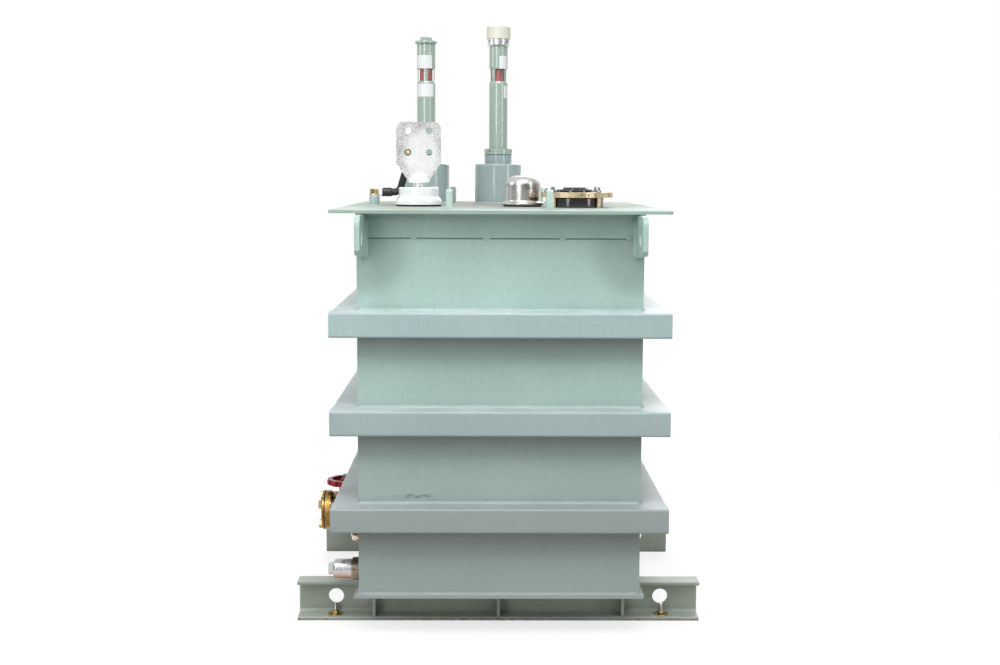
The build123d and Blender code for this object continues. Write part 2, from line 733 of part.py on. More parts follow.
# Dome and relief device
dome_place = Pos(dome_x, dome_y, 0)
save(dome_place * disc(dome_gasket_diameter, lid_top, lid_top + dome_gasket_height), "dome_gasket")
save(dome_place * pressure_dome(), "pressure_dome")
relief_place = Pos(relief_x, relief_y, 0)
save(relief_place * relief_base(), "relief_base")
save(relief_place * relief_ring(), "relief_ring")
save(relief_place * relief_cap(), "relief_cap")
save(relief_place * group(relief_legs()), "relief_legs")

# Left side
save(drain_neck(), "drain_neck")
save(valve_body(), "valve_body")
save(blank_flange(), "blank_flange")
save(handwheel(), "handwheel")
save(drain_plug(), "drain_plug")
save(sampling_plug(), "sampling_plug")
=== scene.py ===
"""Looks of an oil-filled power transformer: finishes, welds, fasteners and the studio round its frame."""

import json
import logging
import math
import random
from dataclasses import dataclass, field
from enum import Enum
from typing import Optional, Sequence

import bpy
from mathutils import Matrix, Vector

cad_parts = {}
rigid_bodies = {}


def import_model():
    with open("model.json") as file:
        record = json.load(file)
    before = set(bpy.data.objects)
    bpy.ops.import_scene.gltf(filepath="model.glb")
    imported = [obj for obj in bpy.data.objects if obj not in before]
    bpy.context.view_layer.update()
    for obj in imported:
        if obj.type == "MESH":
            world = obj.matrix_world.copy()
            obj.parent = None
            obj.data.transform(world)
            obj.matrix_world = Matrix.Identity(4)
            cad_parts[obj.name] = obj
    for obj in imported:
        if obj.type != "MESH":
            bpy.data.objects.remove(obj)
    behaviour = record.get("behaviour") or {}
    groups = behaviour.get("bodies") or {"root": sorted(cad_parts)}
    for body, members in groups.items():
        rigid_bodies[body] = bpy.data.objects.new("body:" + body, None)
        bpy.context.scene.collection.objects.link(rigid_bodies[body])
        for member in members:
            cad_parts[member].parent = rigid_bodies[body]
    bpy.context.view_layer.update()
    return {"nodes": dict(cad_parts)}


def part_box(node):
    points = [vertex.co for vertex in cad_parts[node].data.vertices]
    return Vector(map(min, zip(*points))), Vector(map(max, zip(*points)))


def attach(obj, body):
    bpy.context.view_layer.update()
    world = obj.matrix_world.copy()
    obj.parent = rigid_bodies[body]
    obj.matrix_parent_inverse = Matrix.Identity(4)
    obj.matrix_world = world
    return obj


for leftover in list(bpy.data.objects):
    bpy.data.objects.remove(leftover)
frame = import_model()

log = logging.getLogger("transformer")
MM = 0.001
TANK_BODY = "tank"
WHEEL_BODY = "valve_wheel"

Colour = tuple[float, float, float]
Pair = tuple[float, float]
Triple = tuple[float, float, float]
Socket = bpy.types.NodeSocket

# Underside of the lowest and of the highest rib, and the step between ribs, in metres
RIB_FOOT = 0.2195
RIB_PITCH = 0.188
TOP_RIB_FOOT = RIB_FOOT + 2 * RIB_PITCH

# The band of a cloudy value that most finishes use, and a pattern that isn't squeezed
MIDTONES: Pair = (0.3, 0.7)
EVEN: Triple = (1.0, 1.0, 1.0)

# Places of the sockets on a node that mixes two colours
MIX_SHARE, MIX_BASE, MIX_OVER, MIX_RESULT = 0, 6, 7, 2


def place_at(x: float, y: float, z: float, up: Triple = (0.0, 0.0, 1.0), turn_deg: float = 0.0) -> Matrix:
    """A place in millimetres whose own Z axis points along a direction.

    Args:
        x, y, z: the place's origin.
        up: the direction of the place's Z axis.
        turn_deg: a turn about that axis.

    Returns:
        The matrix from the place's own axes to the object's.
    """
    tilt = Vector((0, 0, 1)).rotation_difference(Vector(up)).to_matrix().to_4x4()
    return Matrix.Translation((x, y, z)) @ tilt @ Matrix.Rotation(math.radians(turn_deg), 4, "Z")


def span(node: str) -> tuple[Vector, Vector]:
    """Lowest and highest corner of a frame piece, in millimetres."""
    low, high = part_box(node)
    return low / MM, high / MM


class Draft:
    """Vertices and faces of one joined mesh, in millimetres."""

    def __init__(self) -> None:
        """Starts an empty mesh."""
        self.points: list[Vector] = []
        self.faces: list[tuple[int, ...]] = []

    def add(self, points: Sequence[Sequence[float]], faces: Sequence[Sequence[int]], place: Matrix) -> None:
        """Adds a closed shell.

        Args:
            points: the shell's points in the place's own axes.
            faces: rows of indices into those points.
            place: where the shell goes.
        """
        start = len(self.points)
        self.points.extend(place @ Vector(point) for point in points)
        self.faces.extend(tuple(start + index for index in face) for face in faces)

    def rings(self, rings: Sequence[Sequence[Triple]], place: Matrix, loop: bool = False) -> None:
        """Joins rings of equally many points into a tube, closed by caps or back on itself.

        Args:
            rings: the rings in order along the tube.
            place: where the tube goes.
            loop: True joins the last ring to the first, and False caps both ends.
        """
        count = len(rings[0])
        points = [point for ring in rings for point in ring]
        faces: list[tuple[int, ...]] = []
        for row in range(len(rings) if loop else len(rings) - 1):
            low, high = row * count, (row + 1) % len(rings) * count
            for k in range(count):
                following = (k + 1) % count
                faces.append((low + k, low + following, high + following, high + k))
        if not loop:
            faces.append(tuple(reversed(range(count))))
            faces.append(tuple((len(rings) - 1) * count + k for k in range(count)))
        self.add(points, faces, place)

    def turned(self, outline: Sequence[Pair], place: Matrix, sides: int = 40, loop: bool = False) -> None:
        """Turns an outline of (radius, height) about the place's Z axis.

        Args:
            outline: the outline from its lower to its upper end, or round a closed section.
            place: where the turned shell goes.
            sides: how many sides stand for the circle.
            loop: True for a closed section, such as a washer's.
        """
        angles = [2 * math.pi * k / sides for k in range(sides)]
        rings = [[(r * math.cos(a), r * math.sin(a), z) for a in angles] for r, z in outline]
        self.rings(rings, place, loop)

    def piece(self, name: str, finish: "Finish", body: str = TANK_BODY,
              smooth_deg: float = 40.0) -> bpy.types.Object:
        """Makes the mesh into a dressed piece that rides on a body.

        Args:
            name: the piece's name.
            finish: what its surface is.
            body: the body that it moves with.
            smooth_deg: edges sharper than this angle stay crisp.

        Returns:
            The new object.
        """
        mesh = bpy.data.meshes.new(name)
        mesh.from_pydata([point * MM for point in self.points], [], self.faces)
        mesh.validate()
        mesh.shade_smooth()
        mesh.set_sharp_from_angle(angle=math.radians(smooth_deg))
        mesh.materials.append(finish.material())
        piece = bpy.data.objects.new(name, mesh)
        bpy.context.scene.collection.objects.link(piece)
        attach(piece, body)
        log.info("%s: %d faces", name, len(mesh.polygons))
        return piece


@dataclass(frozen=True)
class ScrewSize:
    """Sizes of one metric thread and its hexagon parts, in millimetres."""

    diameter: float
    pitch: float
    flats: float
    nut: float
    head: float
    washer: float
    washer_thickness: float


class Screw(Enum):
    """Thread sizes on the transformer."""

    M5 = ScrewSize(5.0, 0.8, 8.0, 4.0, 3.5, 10.0, 1.0)
    M8 = ScrewSize(8.0, 1.25, 13.0, 6.5, 5.3, 16.0, 1.6)
    M10 = ScrewSize(10.0, 1.5, 16.0, 8.4, 6.4, 20.0, 2.0)
    M12 = ScrewSize(12.0, 1.75, 18.0, 10.8, 7.5, 30.0, 2.5)


@dataclass(frozen=True)
class Hardware:
    """Nuts, heads, washers and threads drawn into a mesh."""

    screw: Screw
    sides: int = 24
    washer_sides: int = 32
    crown: float = 0.95
    chamfer_slope: float = 0.577
    thread_depth: float = 0.55
    rows_a_turn: int = 4
    bore_share: float = 0.98
    ease_parts: int = 5

    def hexagon(self, draft: Draft, place: Matrix, low: float, high: float, both: bool = False) -> None:
        """Hexagon with the round chamfer that turned bar has.

        Args:
            draft: the mesh to add to.
            place: the screw's axis.
            low: the hexagon's lower face along the axis.
            high: its upper face.
            both: True chamfers the lower face too.
        """
        half = self.screw.value.flats / 2
        crown = half * self.crown
        angles = [2 * math.pi * k / self.sides for k in range(self.sides)]
        reach = [half / math.cos((a + math.pi / 6) % (math.pi / 3) - math.pi / 6) for a in angles]
        drop = [(r - crown) * self.chamfer_slope for r in reach]
        rows = [[(r, low + (d if both else 0.0)) for r, d in zip(reach, drop)],
                [(r, high - d) for r, d in zip(reach, drop)],
                [(crown, high) for _ in angles]]
        if both:
            rows.insert(0, [(crown, low) for _ in angles])
        rings = [[(r * math.cos(a), r * math.sin(a), z) for (r, z), a in zip(row, angles)] for row in rows]
        draft.rings(rings, place)

    def washer(self, draft: Draft, place: Matrix, low: float, outer: Optional[float] = None) -> float:
        """Flat washer with eased edges.

        Args:
            draft: the mesh to add to.
            place: the screw's axis.
            low: the washer's lower face along the axis.
            outer: its diameter where it isn't the usual one.

        Returns:
            The height of the washer's upper face.
        """
        size = self.screw.value
        rim, bore = (outer or size.washer) / 2, size.diameter / 2 * self.bore_share
        ease = size.washer_thickness / self.ease_parts
        high = low + size.washer_thickness
        section = [(bore, low), (rim - ease, low), (rim, low + ease), (rim, high - ease), (rim - ease, high),
                   (bore, high)]
        draft.turned(section, place, self.washer_sides, loop=True)
        return high

    def thread(self, draft: Draft, place: Matrix, low: float, high: float) -> None:
        """Threaded rod whose ridge climbs round it.

        Args:
            draft: the mesh to add to.
            place: the rod's axis.
            low: its lower end along the axis.
            high: its upper end.
        """
        size = self.screw.value
        radius, depth = size.diameter / 2, size.pitch * self.thread_depth
        rows = max(self.rows_a_turn, round((high - low) / size.pitch * self.rows_a_turn))
        rings = []
        for row in range(rows + 1):
            z = low + (high - low) * row / rows
            ease = min(1.0, (z - low) / size.pitch, (high - z) / size.pitch)
            ring = []
            for k in range(self.sides):
                phase = (z / size.pitch - k / self.sides) % 1.0
                ridge = abs(2 * phase - 1)
                r = radius - depth * max(ridge, 1 - ease)
                angle = 2 * math.pi * k / self.sides
                ring.append((r * math.cos(angle), r * math.sin(angle), z))
            rings.append(ring)
        draft.rings(rings, place)

    def bolt(self, draft: Draft, place: Matrix, outer: Optional[float] = None) -> None:
        """Bolt head on a washer, standing on the place's XY plane."""
        low = self.washer(draft, place, 0.0, outer)
        self.hexagon(draft, place, low, low + self.screw.value.head)

    def nut_and_stud(self, draft: Draft, place: Matrix, rise: float, outer: Optional[float] = None) -> None:
        """Washer, nut and the stud's end that stands through them, on the place's XY plane.

        Args:
            draft: the mesh to add to.
            place: the stud's axis.
            rise: the height of the stud's end.
            outer: the washer's diameter where it isn't the usual one.
        """
        low = self.washer(draft, place, 0.0, outer)
        self.hexagon(draft, place, low, low + self.screw.value.nut, both=True)
        self.thread(draft, place, low + self.screw.value.nut / 2, rise)


class Nodes:
    """A node tree, with short calls that add and join its nodes."""

    def __init__(self, tree: bpy.types.NodeTree, place: str) -> None:
        """Takes a tree and the coordinates that its textures follow."""
        self.tree = tree
        self.place = self.node("ShaderNodeTexCoord").outputs[place]

    def node(self, kind: str, settings: Optional[dict] = None, **sockets: object) -> bpy.types.Node:
        """Adds a node.

        Args:
            kind: the node's type.
            settings: values of the node's own properties.
            sockets: inputs by name with underscores for spaces, each a value or a socket to join.

        Returns:
            The new node.
        """
        made = self.tree.nodes.new(kind)
        for key, value in (settings or {}).items():
            setattr(made, key, value)
        for key, value in sockets.items():
            self.feed(made.inputs[key.replace("_", " ")], value)
        return made

    def feed(self, target: Socket, value: object) -> None:
        """Joins a socket to an input, or sets the input's own value.

        Args:
            target: the input.
            value: the socket to join, or the plain value to set.
        """
        if isinstance(value, Socket):
            self.tree.links.new(value, target)
        else:
            target.default_value = value

    def level(self, value: Socket, start: float, end: float, low: float = 0.0, high: float = 1.0) -> Socket:
        """Maps a value smoothly from one band to another.

        Args:
            value: the socket to map.
            start, end: the band that the value is taken from.
            low, high: what the band's start and end become.

        Returns:
            The mapped value's socket.
        """
        made = self.node("ShaderNodeMapRange", {"interpolation_type": "SMOOTHSTEP"}, Value=value)
        for key, amount in (("From Min", start), ("From Max", end), ("To Min", low), ("To Max", high)):
            made.inputs[key].default_value = amount
        return made.outputs["Result"]

    def sum_of(self, how: str, first: object, second: object) -> Socket:
        """One arithmetic step.

        Args:
            how: the operation's name.
            first, second: a socket or a number each.

        Returns:
            The result's socket.
        """
        made = self.node("ShaderNodeMath", {"operation": how})
        self.feed(made.inputs[0], first)
        self.feed(made.inputs[1], second)
        return made.outputs[0]

    def mix(self, share: object, base: object, over: object, how: str = "MIX") -> Socket:
        """Lays one colour over another.

        Args:
            share: how much of the upper colour shows.
            base: the lower colour or its socket.
            over: the upper colour or its socket.
            how: the blend's name.

        Returns:
            The mixed colour's socket.
        """
        made = self.node("ShaderNodeMix", {"data_type": "RGBA", "blend_type": how})
        for index, value in ((MIX_SHARE, share), (MIX_BASE, base), (MIX_OVER, over)):
            self.feed(made.inputs[index], rgba(value) if isinstance(value, tuple) else value)
        return made.outputs[MIX_RESULT]

    def axis(self, name: str) -> Socket:
        """One coordinate of the place that the textures follow."""
        return self.node("ShaderNodeSeparateXYZ", Vector=self.place).outputs[name]

    def ray(self, *names: str) -> Socket:
        """Tells some kinds of light ray from the others.

        Args:
            names: the kinds of ray.

        Returns:
            A socket that is 1 for rays of those kinds and 0 for the others.
        """
        path = self.node("ShaderNodeLightPath")
        total = path.outputs[names[0]]
        for name in names[1:]:
            total = self.sum_of("MAXIMUM", total, path.outputs[name])
        return total


@dataclass(frozen=True)
class Pattern:
    """A cloudy pattern: clouds to a metre, finer layers, the band that counts, squeeze on each axis."""

    scale: float
    detail: float = 4.0
    band: Pair = MIDTONES
    stretch: Triple = EVEN


@dataclass(frozen=True)
class ColourPatch:
    """A patch of another colour round a point of the object; most are stains, some are painted shade and
    painted reflections; lengths in metres.
    """

    centre: Triple
    reach: Triple
    colour: Colour
    share: float = 0.75
    torn: float = 110.0
    stretch: Triple = EVEN
    core: float = 0.25
    tear_detail: float = 8.0
    tear_band: Pair = (0.45, 0.62)

    def tears(self) -> Pattern:
        """The pattern that tears the patch."""
        return Pattern(self.torn, self.tear_detail, self.tear_band, self.stretch)


class Shader(Nodes):
    """Node tree of one material."""

    corner_samples = 6
    edge_samples = 4
    edge_band: Pair = (0.995, 0.85)
    upward_band: Pair = (0.6, 0.95)

    def __init__(self, name: str) -> None:
        """Starts a material with its plain surface node.

        Args:
            name: the material's name.
        """
        self.material = bpy.data.materials.new(name)
        self.material.use_nodes = True
        super().__init__(self.material.node_tree, "Object")
        self.surface = self.tree.nodes["Principled BSDF"]

    def noise(self, scale: float, detail: float, stretch: Triple = EVEN) -> Socket:
        """Cloudy value from 0 to 1.

        Args:
            scale: clouds to a metre.
            detail: how many finer layers there are.
            stretch: the clouds' squeeze along each axis.

        Returns:
            The value's socket.
        """
        spread = self.node("ShaderNodeMapping", Vector=self.place, Scale=stretch).outputs[0]
        return self.node("ShaderNodeTexNoise", Vector=spread, Scale=scale, Detail=detail).outputs[0]

    def pattern(self, pattern: Pattern, low: float = 0.0, high: float = 1.0) -> Socket:
        """A pattern's value, from low at its band's start to high at its band's end."""
        value = self.noise(pattern.scale, pattern.detail, pattern.stretch)
        return self.level(value, *pattern.band, low, high)

    def toned(self, colour: Colour, *tones: Socket) -> Socket:
        """Makes a colour lighter and darker.

        Args:
            colour: the plain colour.
            tones: the tones that it is multiplied by.

        Returns:
            The toned colour's socket.
        """
        tone = tones[0]
        for other in tones[1:]:
            tone = self.sum_of("MULTIPLY", tone, other)
        grey = self.node("ShaderNodeCombineColor", Red=tone, Green=tone, Blue=tone).outputs[0]
        return self.mix(1.0, colour, grey, "MULTIPLY")

    def crevice(self, reach: float) -> Socket:
        """Finds corners.

        Args:
            reach: how far from a corner its grime reaches, in millimetres.

        Returns:
            A socket that is 1 in corners and beside welds, and falls to 0 on open faces.
        """
        settings = {"samples": self.corner_samples}
        open_sky = self.node("ShaderNodeAmbientOcclusion", settings, Distance=reach * MM).outputs["AO"]
        return self.sum_of("SUBTRACT", 1.0, open_sky)

    def edge(self, radius: float) -> Socket:
        """Finds sharp edges.

        Args:
            radius: how far from an edge its wear and painted highlight reach, in millimetres.

        Returns:
            A socket that is 1 along sharp edges and 0 on flat faces.
        """
        soft = self.node("ShaderNodeBevel", {"samples": self.edge_samples}, Radius=radius * MM).outputs[0]
        hard = self.node("ShaderNodeNewGeometry").outputs["Normal"]
        dot = self.node("ShaderNodeVectorMath", {"operation": "DOT_PRODUCT"})
        self.feed(dot.inputs[0], soft)
        self.feed(dot.inputs[1], hard)
        return self.level(dot.outputs["Value"], *self.edge_band)

    def upward(self) -> Socket:
        """1 on faces that look up, 0 on the others."""
        normal = self.node("ShaderNodeNewGeometry").outputs["Normal"]
        return self.level(self.node("ShaderNodeSeparateXYZ", Vector=normal).outputs["Z"], *self.upward_band)

    def patched(self, colour: object, colour_patches: Sequence[ColourPatch]) -> Socket:
        """Lays colour patches over a colour, stains as well as painted shade and painted reflections, each
        fading out from its centre and torn by its pattern.

        Args:
            colour: the colour below the stains, or its socket.
            colour_patches: the patches, lowest first.

        Returns:
            The patched colour's socket.
        """
        for colour_patch in colour_patches:
            squares = None
            for axis, centre, reach in zip("XYZ", colour_patch.centre, colour_patch.reach):
                share = self.sum_of("DIVIDE", self.sum_of("SUBTRACT", self.axis(axis), centre), reach)
                square = self.sum_of("MULTIPLY", share, share)
                squares = square if squares is None else self.sum_of("ADD", squares, square)
            cover = self.level(squares, 1.0, colour_patch.core, 0.0, colour_patch.share)
            if colour_patch.torn:
                cover = self.sum_of("MULTIPLY", cover, self.pattern(colour_patch.tears()))
            colour = self.mix(cover, colour, colour_patch.colour)
        return colour

    def bump(self, *layers: tuple[Socket, float]) -> None:
        """Raises the surface.

        Args:
            layers: rows of (height from 0 to 1, depth in millimetres), lowest first.
        """
        normal: Optional[Socket] = None
        for height, depth in layers:
            made = self.node("ShaderNodeBump", Height=height, Distance=depth * MM, Strength=1.0)
            if normal is not None:
                self.feed(made.inputs["Normal"], normal)
            normal = made.outputs[0]
        self.feed(self.surface.inputs["Normal"], normal)

    def dress(self, **sockets: object) -> bpy.types.Material:
        """Sets inputs of the surface node.

        Args:
            sockets: inputs by name with underscores for spaces, each a value, a colour or a socket to join.

        Returns:
            The finished material.
        """
        for key, value in sockets.items():
            value = rgba(value) if isinstance(value, tuple) else value
            self.feed(self.surface.inputs[key.replace("_", " ")], value)
        return self.material


def rgba(colour: Colour) -> tuple[float, float, float, float]:
    """A colour with full cover."""
    return (*colour, 1.0)


def shade(colour: Colour, share: float) -> Colour:
    """A darker colour of the same hue."""
    return tuple(share * part for part in colour)


@dataclass(frozen=True)
class Finish:
    """A surface finish; each kind of finish builds its own nodes once."""

    name: str
    colour: Colour
    slot: str = ""

    def material(self) -> bpy.types.Material:
        """The finish's material, made on first use."""
        return bpy.data.materials.get(self.name) or self.build(Shader(self.name))

    def build(self, shader: Shader) -> bpy.types.Material:
        """Builds the nodes; each kind of finish has its own."""
        raise NotImplementedError


@dataclass(frozen=True)
class Enamel(Finish):
    """Sprayed enamel on steel: clouded tone, orange peel, grime and painted shade in corners, chalky wear and
    painted highlight on edges, dust and painted top light on upward faces, painted shade towards the ground
    and painted shadow below the ribs.

    Reaches, radii and bump depths are in millimetres, heights in metres.
    """

    roughness: float = 0.36
    sheen: Pattern = Pattern(12.0, 5.0)
    sheen_spread: Pair = (0.8, 1.25)
    gloss: float = 0.5
    cloud: float = 0.045
    clouds: Pattern = Pattern(5.0, 6.0)
    fleck: float = 0.03
    flecks: Pattern = Pattern(160.0, 3.0, (0.35, 0.65))
    streak: float = 0.035
    streaks: Pattern = Pattern(22.0, 5.0, (0.45, 0.8), (1.0, 1.0, 0.07))
    # Grime and painted shade: darker in corners and beside welds.
    grime_and_shade: float = 0.38
    grime_and_shade_colour: Colour = (0.10, 0.095, 0.08)
    grime_and_shade_reach: float = 26.0
    grime_and_shade_band: Pair = (0.12, 0.5)
    grime_and_shade_patches: Pattern = Pattern(30.0, 6.0, (0.35, 0.7))
    grime_and_shade_least: float = 0.35
    # Chalky wear and painted highlight: paler along sharp edges.
    chalk_and_highlight: float = 0.35
    chalk_and_highlight_least: float = 0.2
    chalk_and_highlight_clouds: Pattern = Pattern(40.0, 4.0, (0.35, 0.6))
    chalk_and_highlight_keeps: float = 0.55
    chalk_and_highlight_lift: float = 0.42
    edge_radius: float = 1.6
    # Dust and painted top light: paler on upward faces.
    dust_and_top_light: float = 0.18
    dust_and_top_light_least: float = 0.2
    dust_and_top_light_drifts: Pattern = Pattern(9.0, 5.0)
    dust_and_top_light_colour: Colour = (0.66, 0.67, 0.62)
    peel: float = 0.03
    peel_scale: float = 420.0
    wave: float = 1.2
    wave_scale: float = 3.5
    bump_detail: float = 2.0
    # Painted shade: darker and bluer towards the ground.
    ground_shade: float = 0.0
    ground_shade_band: Pair = (0.68, 0.05)
    ground_shade_colour: Colour = (0.265, 0.285, 0.285)
    # Painted shadow: darker below each rib, fading down the wall.
    rib_shadow: float = 0.0
    rib_shadow_band: Pair = (0.6, 1.0)
    rib_shadow_edge: float = 0.01
    rib_shadow_colour: Colour = (0.19, 0.175, 0.16)
    colour_patches: tuple[ColourPatch, ...] = ()

    def build(self, shader: Shader) -> bpy.types.Material:
        """Builds the enamel's nodes.

        Args:
            shader: the material's node tree.

        Returns:
            The finished material.
        """
        colour = shader.toned(
            self.colour,
            shader.pattern(self.clouds, 1 - self.cloud, 1 + self.cloud / 2),
            shader.pattern(self.flecks, 1 - self.fleck, 1 + self.fleck),
            shader.pattern(self.streaks, 1.0, 1 - self.streak),
        )
        # Grime and painted shade in corners.
        patchy = shader.pattern(self.grime_and_shade_patches, self.grime_and_shade_least, 1.0)
        corner = shader.level(shader.crevice(self.grime_and_shade_reach), *self.grime_and_shade_band, 0.0, self.grime_and_shade)
        colour = shader.mix(shader.sum_of("MULTIPLY", corner, patchy), colour, self.grime_and_shade_colour)
        # Chalky wear and painted highlight on sharp edges.
        pale = tuple(min(1.0, self.chalk_and_highlight_keeps * part + self.chalk_and_highlight_lift) for part in self.colour)
        rubbed_and_lit = shader.pattern(self.chalk_and_highlight_clouds, self.chalk_and_highlight_least, self.chalk_and_highlight)
        colour = shader.mix(shader.sum_of("MULTIPLY", shader.edge(self.edge_radius), rubbed_and_lit), colour, pale)
        # Dust and painted top light on upward faces.
        settled_and_lit = shader.pattern(self.dust_and_top_light_drifts, self.dust_and_top_light_least, self.dust_and_top_light)
        colour = shader.mix(shader.sum_of("MULTIPLY", shader.upward(), settled_and_lit), colour, self.dust_and_top_light_colour)
        # Painted shade towards the ground.
        if self.ground_shade:
            near_ground = shader.level(shader.axis("Z"), *self.ground_shade_band, 0.0, self.ground_shade)
            colour = shader.mix(near_ground, colour, self.ground_shade_colour)
        # Painted shadow below the ribs.
        if self.rib_shadow:
            colour = shader.mix(self.below_ribs(shader), colour, self.rib_shadow_colour)
        colour = shader.patched(colour, self.colour_patches)
        rough = shader.pattern(self.sheen, *(self.roughness * share for share in self.sheen_spread))
        shader.bump((shader.noise(self.peel_scale, self.bump_detail), self.peel),
                    (shader.noise(self.wave_scale, self.bump_detail), self.wave))
        return shader.dress(Base_Color=colour, Roughness=rough, Specular_IOR_Level=self.gloss)

    def below_ribs(self, shader: Shader) -> Socket:
        """Painted shadow that hangs below each rib and fades down the wall.

        Args:
            shader: the material's node tree.

        Returns:
            The socket of the grime's cover.
        """
        height = shader.axis("Z")
        rows = shader.sum_of("DIVIDE", shader.sum_of("SUBTRACT", height, RIB_FOOT), RIB_PITCH)
        row_share = shader.sum_of("FLOORED_MODULO", rows, 1.0)
        band = shader.level(row_share, *self.rib_shadow_band, 0.0, self.rib_shadow)
        below_top_rib = shader.level(height, TOP_RIB_FOOT + self.rib_shadow_edge, TOP_RIB_FOOT)
        return shader.sum_of("MULTIPLY", band, below_top_rib)


class Grain(Enum):
    """How a bare metal surface was left: the pattern of its marks, and their depth in millimetres."""

    TURNED = (Pattern(90.0, 6.0, stretch=(1.0, 1.0, 14.0)), 0.012)
    CAST = (Pattern(640.0, 6.0), 0.25)
    PLATED = (Pattern(160.0, 6.0), 0.02)
    POLISHED = (Pattern(60.0, 6.0), 0.01)


@dataclass(frozen=True)
class Metal(Finish):
    """Bare or plated metal with colour patches, a second tint, the marks of its making, and tarnish with
    painted shade in its corners; reach in millimetres.
    """

    tint: Colour = (0.5, 0.5, 0.5)
    tint_share: float = 0.5
    tint_scale: float = 45.0
    tint_detail: float = 5.0
    tint_band: Pair = (0.38, 0.68)
    roughness: float = 0.3
    spread: float = 0.12
    least_roughness: float = 0.03
    grain: Grain = Grain.PLATED
    # Tarnish and painted shade: darker in corners.
    tarnish_and_shade: float = 0.5
    tarnish_and_shade_reach: float = 6.0
    tarnish_and_shade_band: Pair = (0.2, 0.6)
    tarnish_and_shade_tone: float = 0.12
    speckle: float = 0.0
    speckle_shade: float = 0.3
    speckle_fineness: float = 0.9
    speckle_detail: float = 8.0
    speckle_band: Pair = (0.41, 0.66)
    gather_fineness: float = 0.6
    gather_detail: float = 3.0
    gather_band: Pair = (0.3, 0.65)
    gather_least: float = 0.4
    metallic: float = 1.0
    colour_patches: tuple[ColourPatch, ...] = ()

    def build(self, shader: Shader) -> bpy.types.Material:
        """Builds the metal's nodes.

        Args:
            shader: the material's node tree.

        Returns:
            The finished material.
        """
        pattern, depth = self.grain.value
        marks = shader.noise(pattern.scale, pattern.detail, pattern.stretch)
        second = Pattern(self.tint_scale, self.tint_detail, self.tint_band)
        colour = shader.mix(shader.pattern(second, 0.0, self.tint_share), self.colour, self.tint)
        if self.speckle:
            fine = Pattern(pattern.scale * self.speckle_fineness, self.speckle_detail, self.speckle_band)
            wide = Pattern(self.tint_scale * self.gather_fineness, self.gather_detail, self.gather_band)
            gathered = shader.pattern(wide, self.gather_least, 1.0)
            pits = shader.sum_of("MULTIPLY", shader.pattern(fine, 0.0, self.speckle), gathered)
            colour = shader.mix(pits, colour, shade(self.colour, self.speckle_shade))
        colour = shader.patched(colour, self.colour_patches)
        # Tarnish and painted shade in corners.
        corner = shader.level(shader.crevice(self.tarnish_and_shade_reach), *self.tarnish_and_shade_band, 0.0, self.tarnish_and_shade)
        colour = shader.mix(corner, colour, shade(self.colour, self.tarnish_and_shade_tone))
        smooth = max(self.least_roughness, self.roughness - self.spread)
        rough = shader.level(marks, *pattern.band, smooth, self.roughness + self.spread)
        shader.bump((marks, depth))
        return shader.dress(Base_Color=colour, Roughness=rough, Metallic=self.metallic)


@dataclass(frozen=True)
class Moulded(Finish):
    """Moulded or glazed stuff, such as plastic, rubber, paper or porcelain; lengths in millimetres."""

    roughness: float = 0.4
    sheen: Pattern = Pattern(60.0, 4.0)
    sheen_spread: float = 0.06
    least_roughness: float = 0.04
    mottle: float = 0.08
    mottle_scale: float = 30.0
    mottle_detail: float = 5.0
    skin: float = 0.02
    skin_scale: float = 500.0
    skin_detail: float = 3.0
    # Grime and painted shade: darker in corners.
    grime_and_shade: float = 0.3
    grime_and_shade_reach: float = 5.0
    grime_and_shade_band: Pair = (0.2, 0.6)
    grime_and_shade_tone: float = 0.3
    coat: float = 0.0
    colour_patches: tuple[ColourPatch, ...] = ()

    def build(self, shader: Shader) -> bpy.types.Material:
        """Builds the moulded stuff's nodes.

        Args:
            shader: the material's node tree.

        Returns:
            The finished material.
        """
        mottled = shader.pattern(Pattern(self.mottle_scale, self.mottle_detail), 1 - self.mottle, 1.0)
        # Grime and painted shade in corners.
        corner = shader.level(shader.crevice(self.grime_and_shade_reach), *self.grime_and_shade_band, 0.0, self.grime_and_shade)
        dark = shade(self.colour, self.grime_and_shade_tone)
        colour = shader.mix(corner, shader.toned(self.colour, mottled), dark)
        colour = shader.patched(colour, self.colour_patches)
        smooth = max(self.least_roughness, self.roughness - self.sheen_spread)
        rough = shader.pattern(self.sheen, smooth, self.roughness + self.sheen_spread)
        shader.bump((shader.noise(self.skin_scale, self.skin_detail), self.skin))
        return shader.dress(Base_Color=colour, Roughness=rough, Coat_Weight=self.coat)


@dataclass(frozen=True)
class Clear(Finish):
    """Thin clear glass with faint smears; depth in millimetres."""

    cover: Pair = (0.05, 0.10)
    cover_band: Pair = (0.45, 0.8)
    haze: Pair = (0.02, 0.12)
    haze_band: Pair = (0.4, 0.8)
    smear_scale: float = 70.0
    smear_detail: float = 5.0
    wave: float = 0.004
    wave_scale: float = 90.0
    wave_detail: float = 2.0

    def build(self, shader: Shader) -> bpy.types.Material:
        """Builds the glass's nodes.

        Args:
            shader: the material's node tree.

        Returns:
            The finished material.
        """
        smears = shader.noise(self.smear_scale, self.smear_detail)
        rough = shader.level(smears, *self.haze_band, *self.haze)
        seen = shader.level(smears, *self.cover_band, *self.cover)
        shader.bump((shader.noise(self.wave_scale, self.wave_detail), self.wave))
        return shader.dress(Base_Color=self.colour, Roughness=rough, Alpha=seen)


WALL_GREEN = (0.42, 0.575, 0.53)
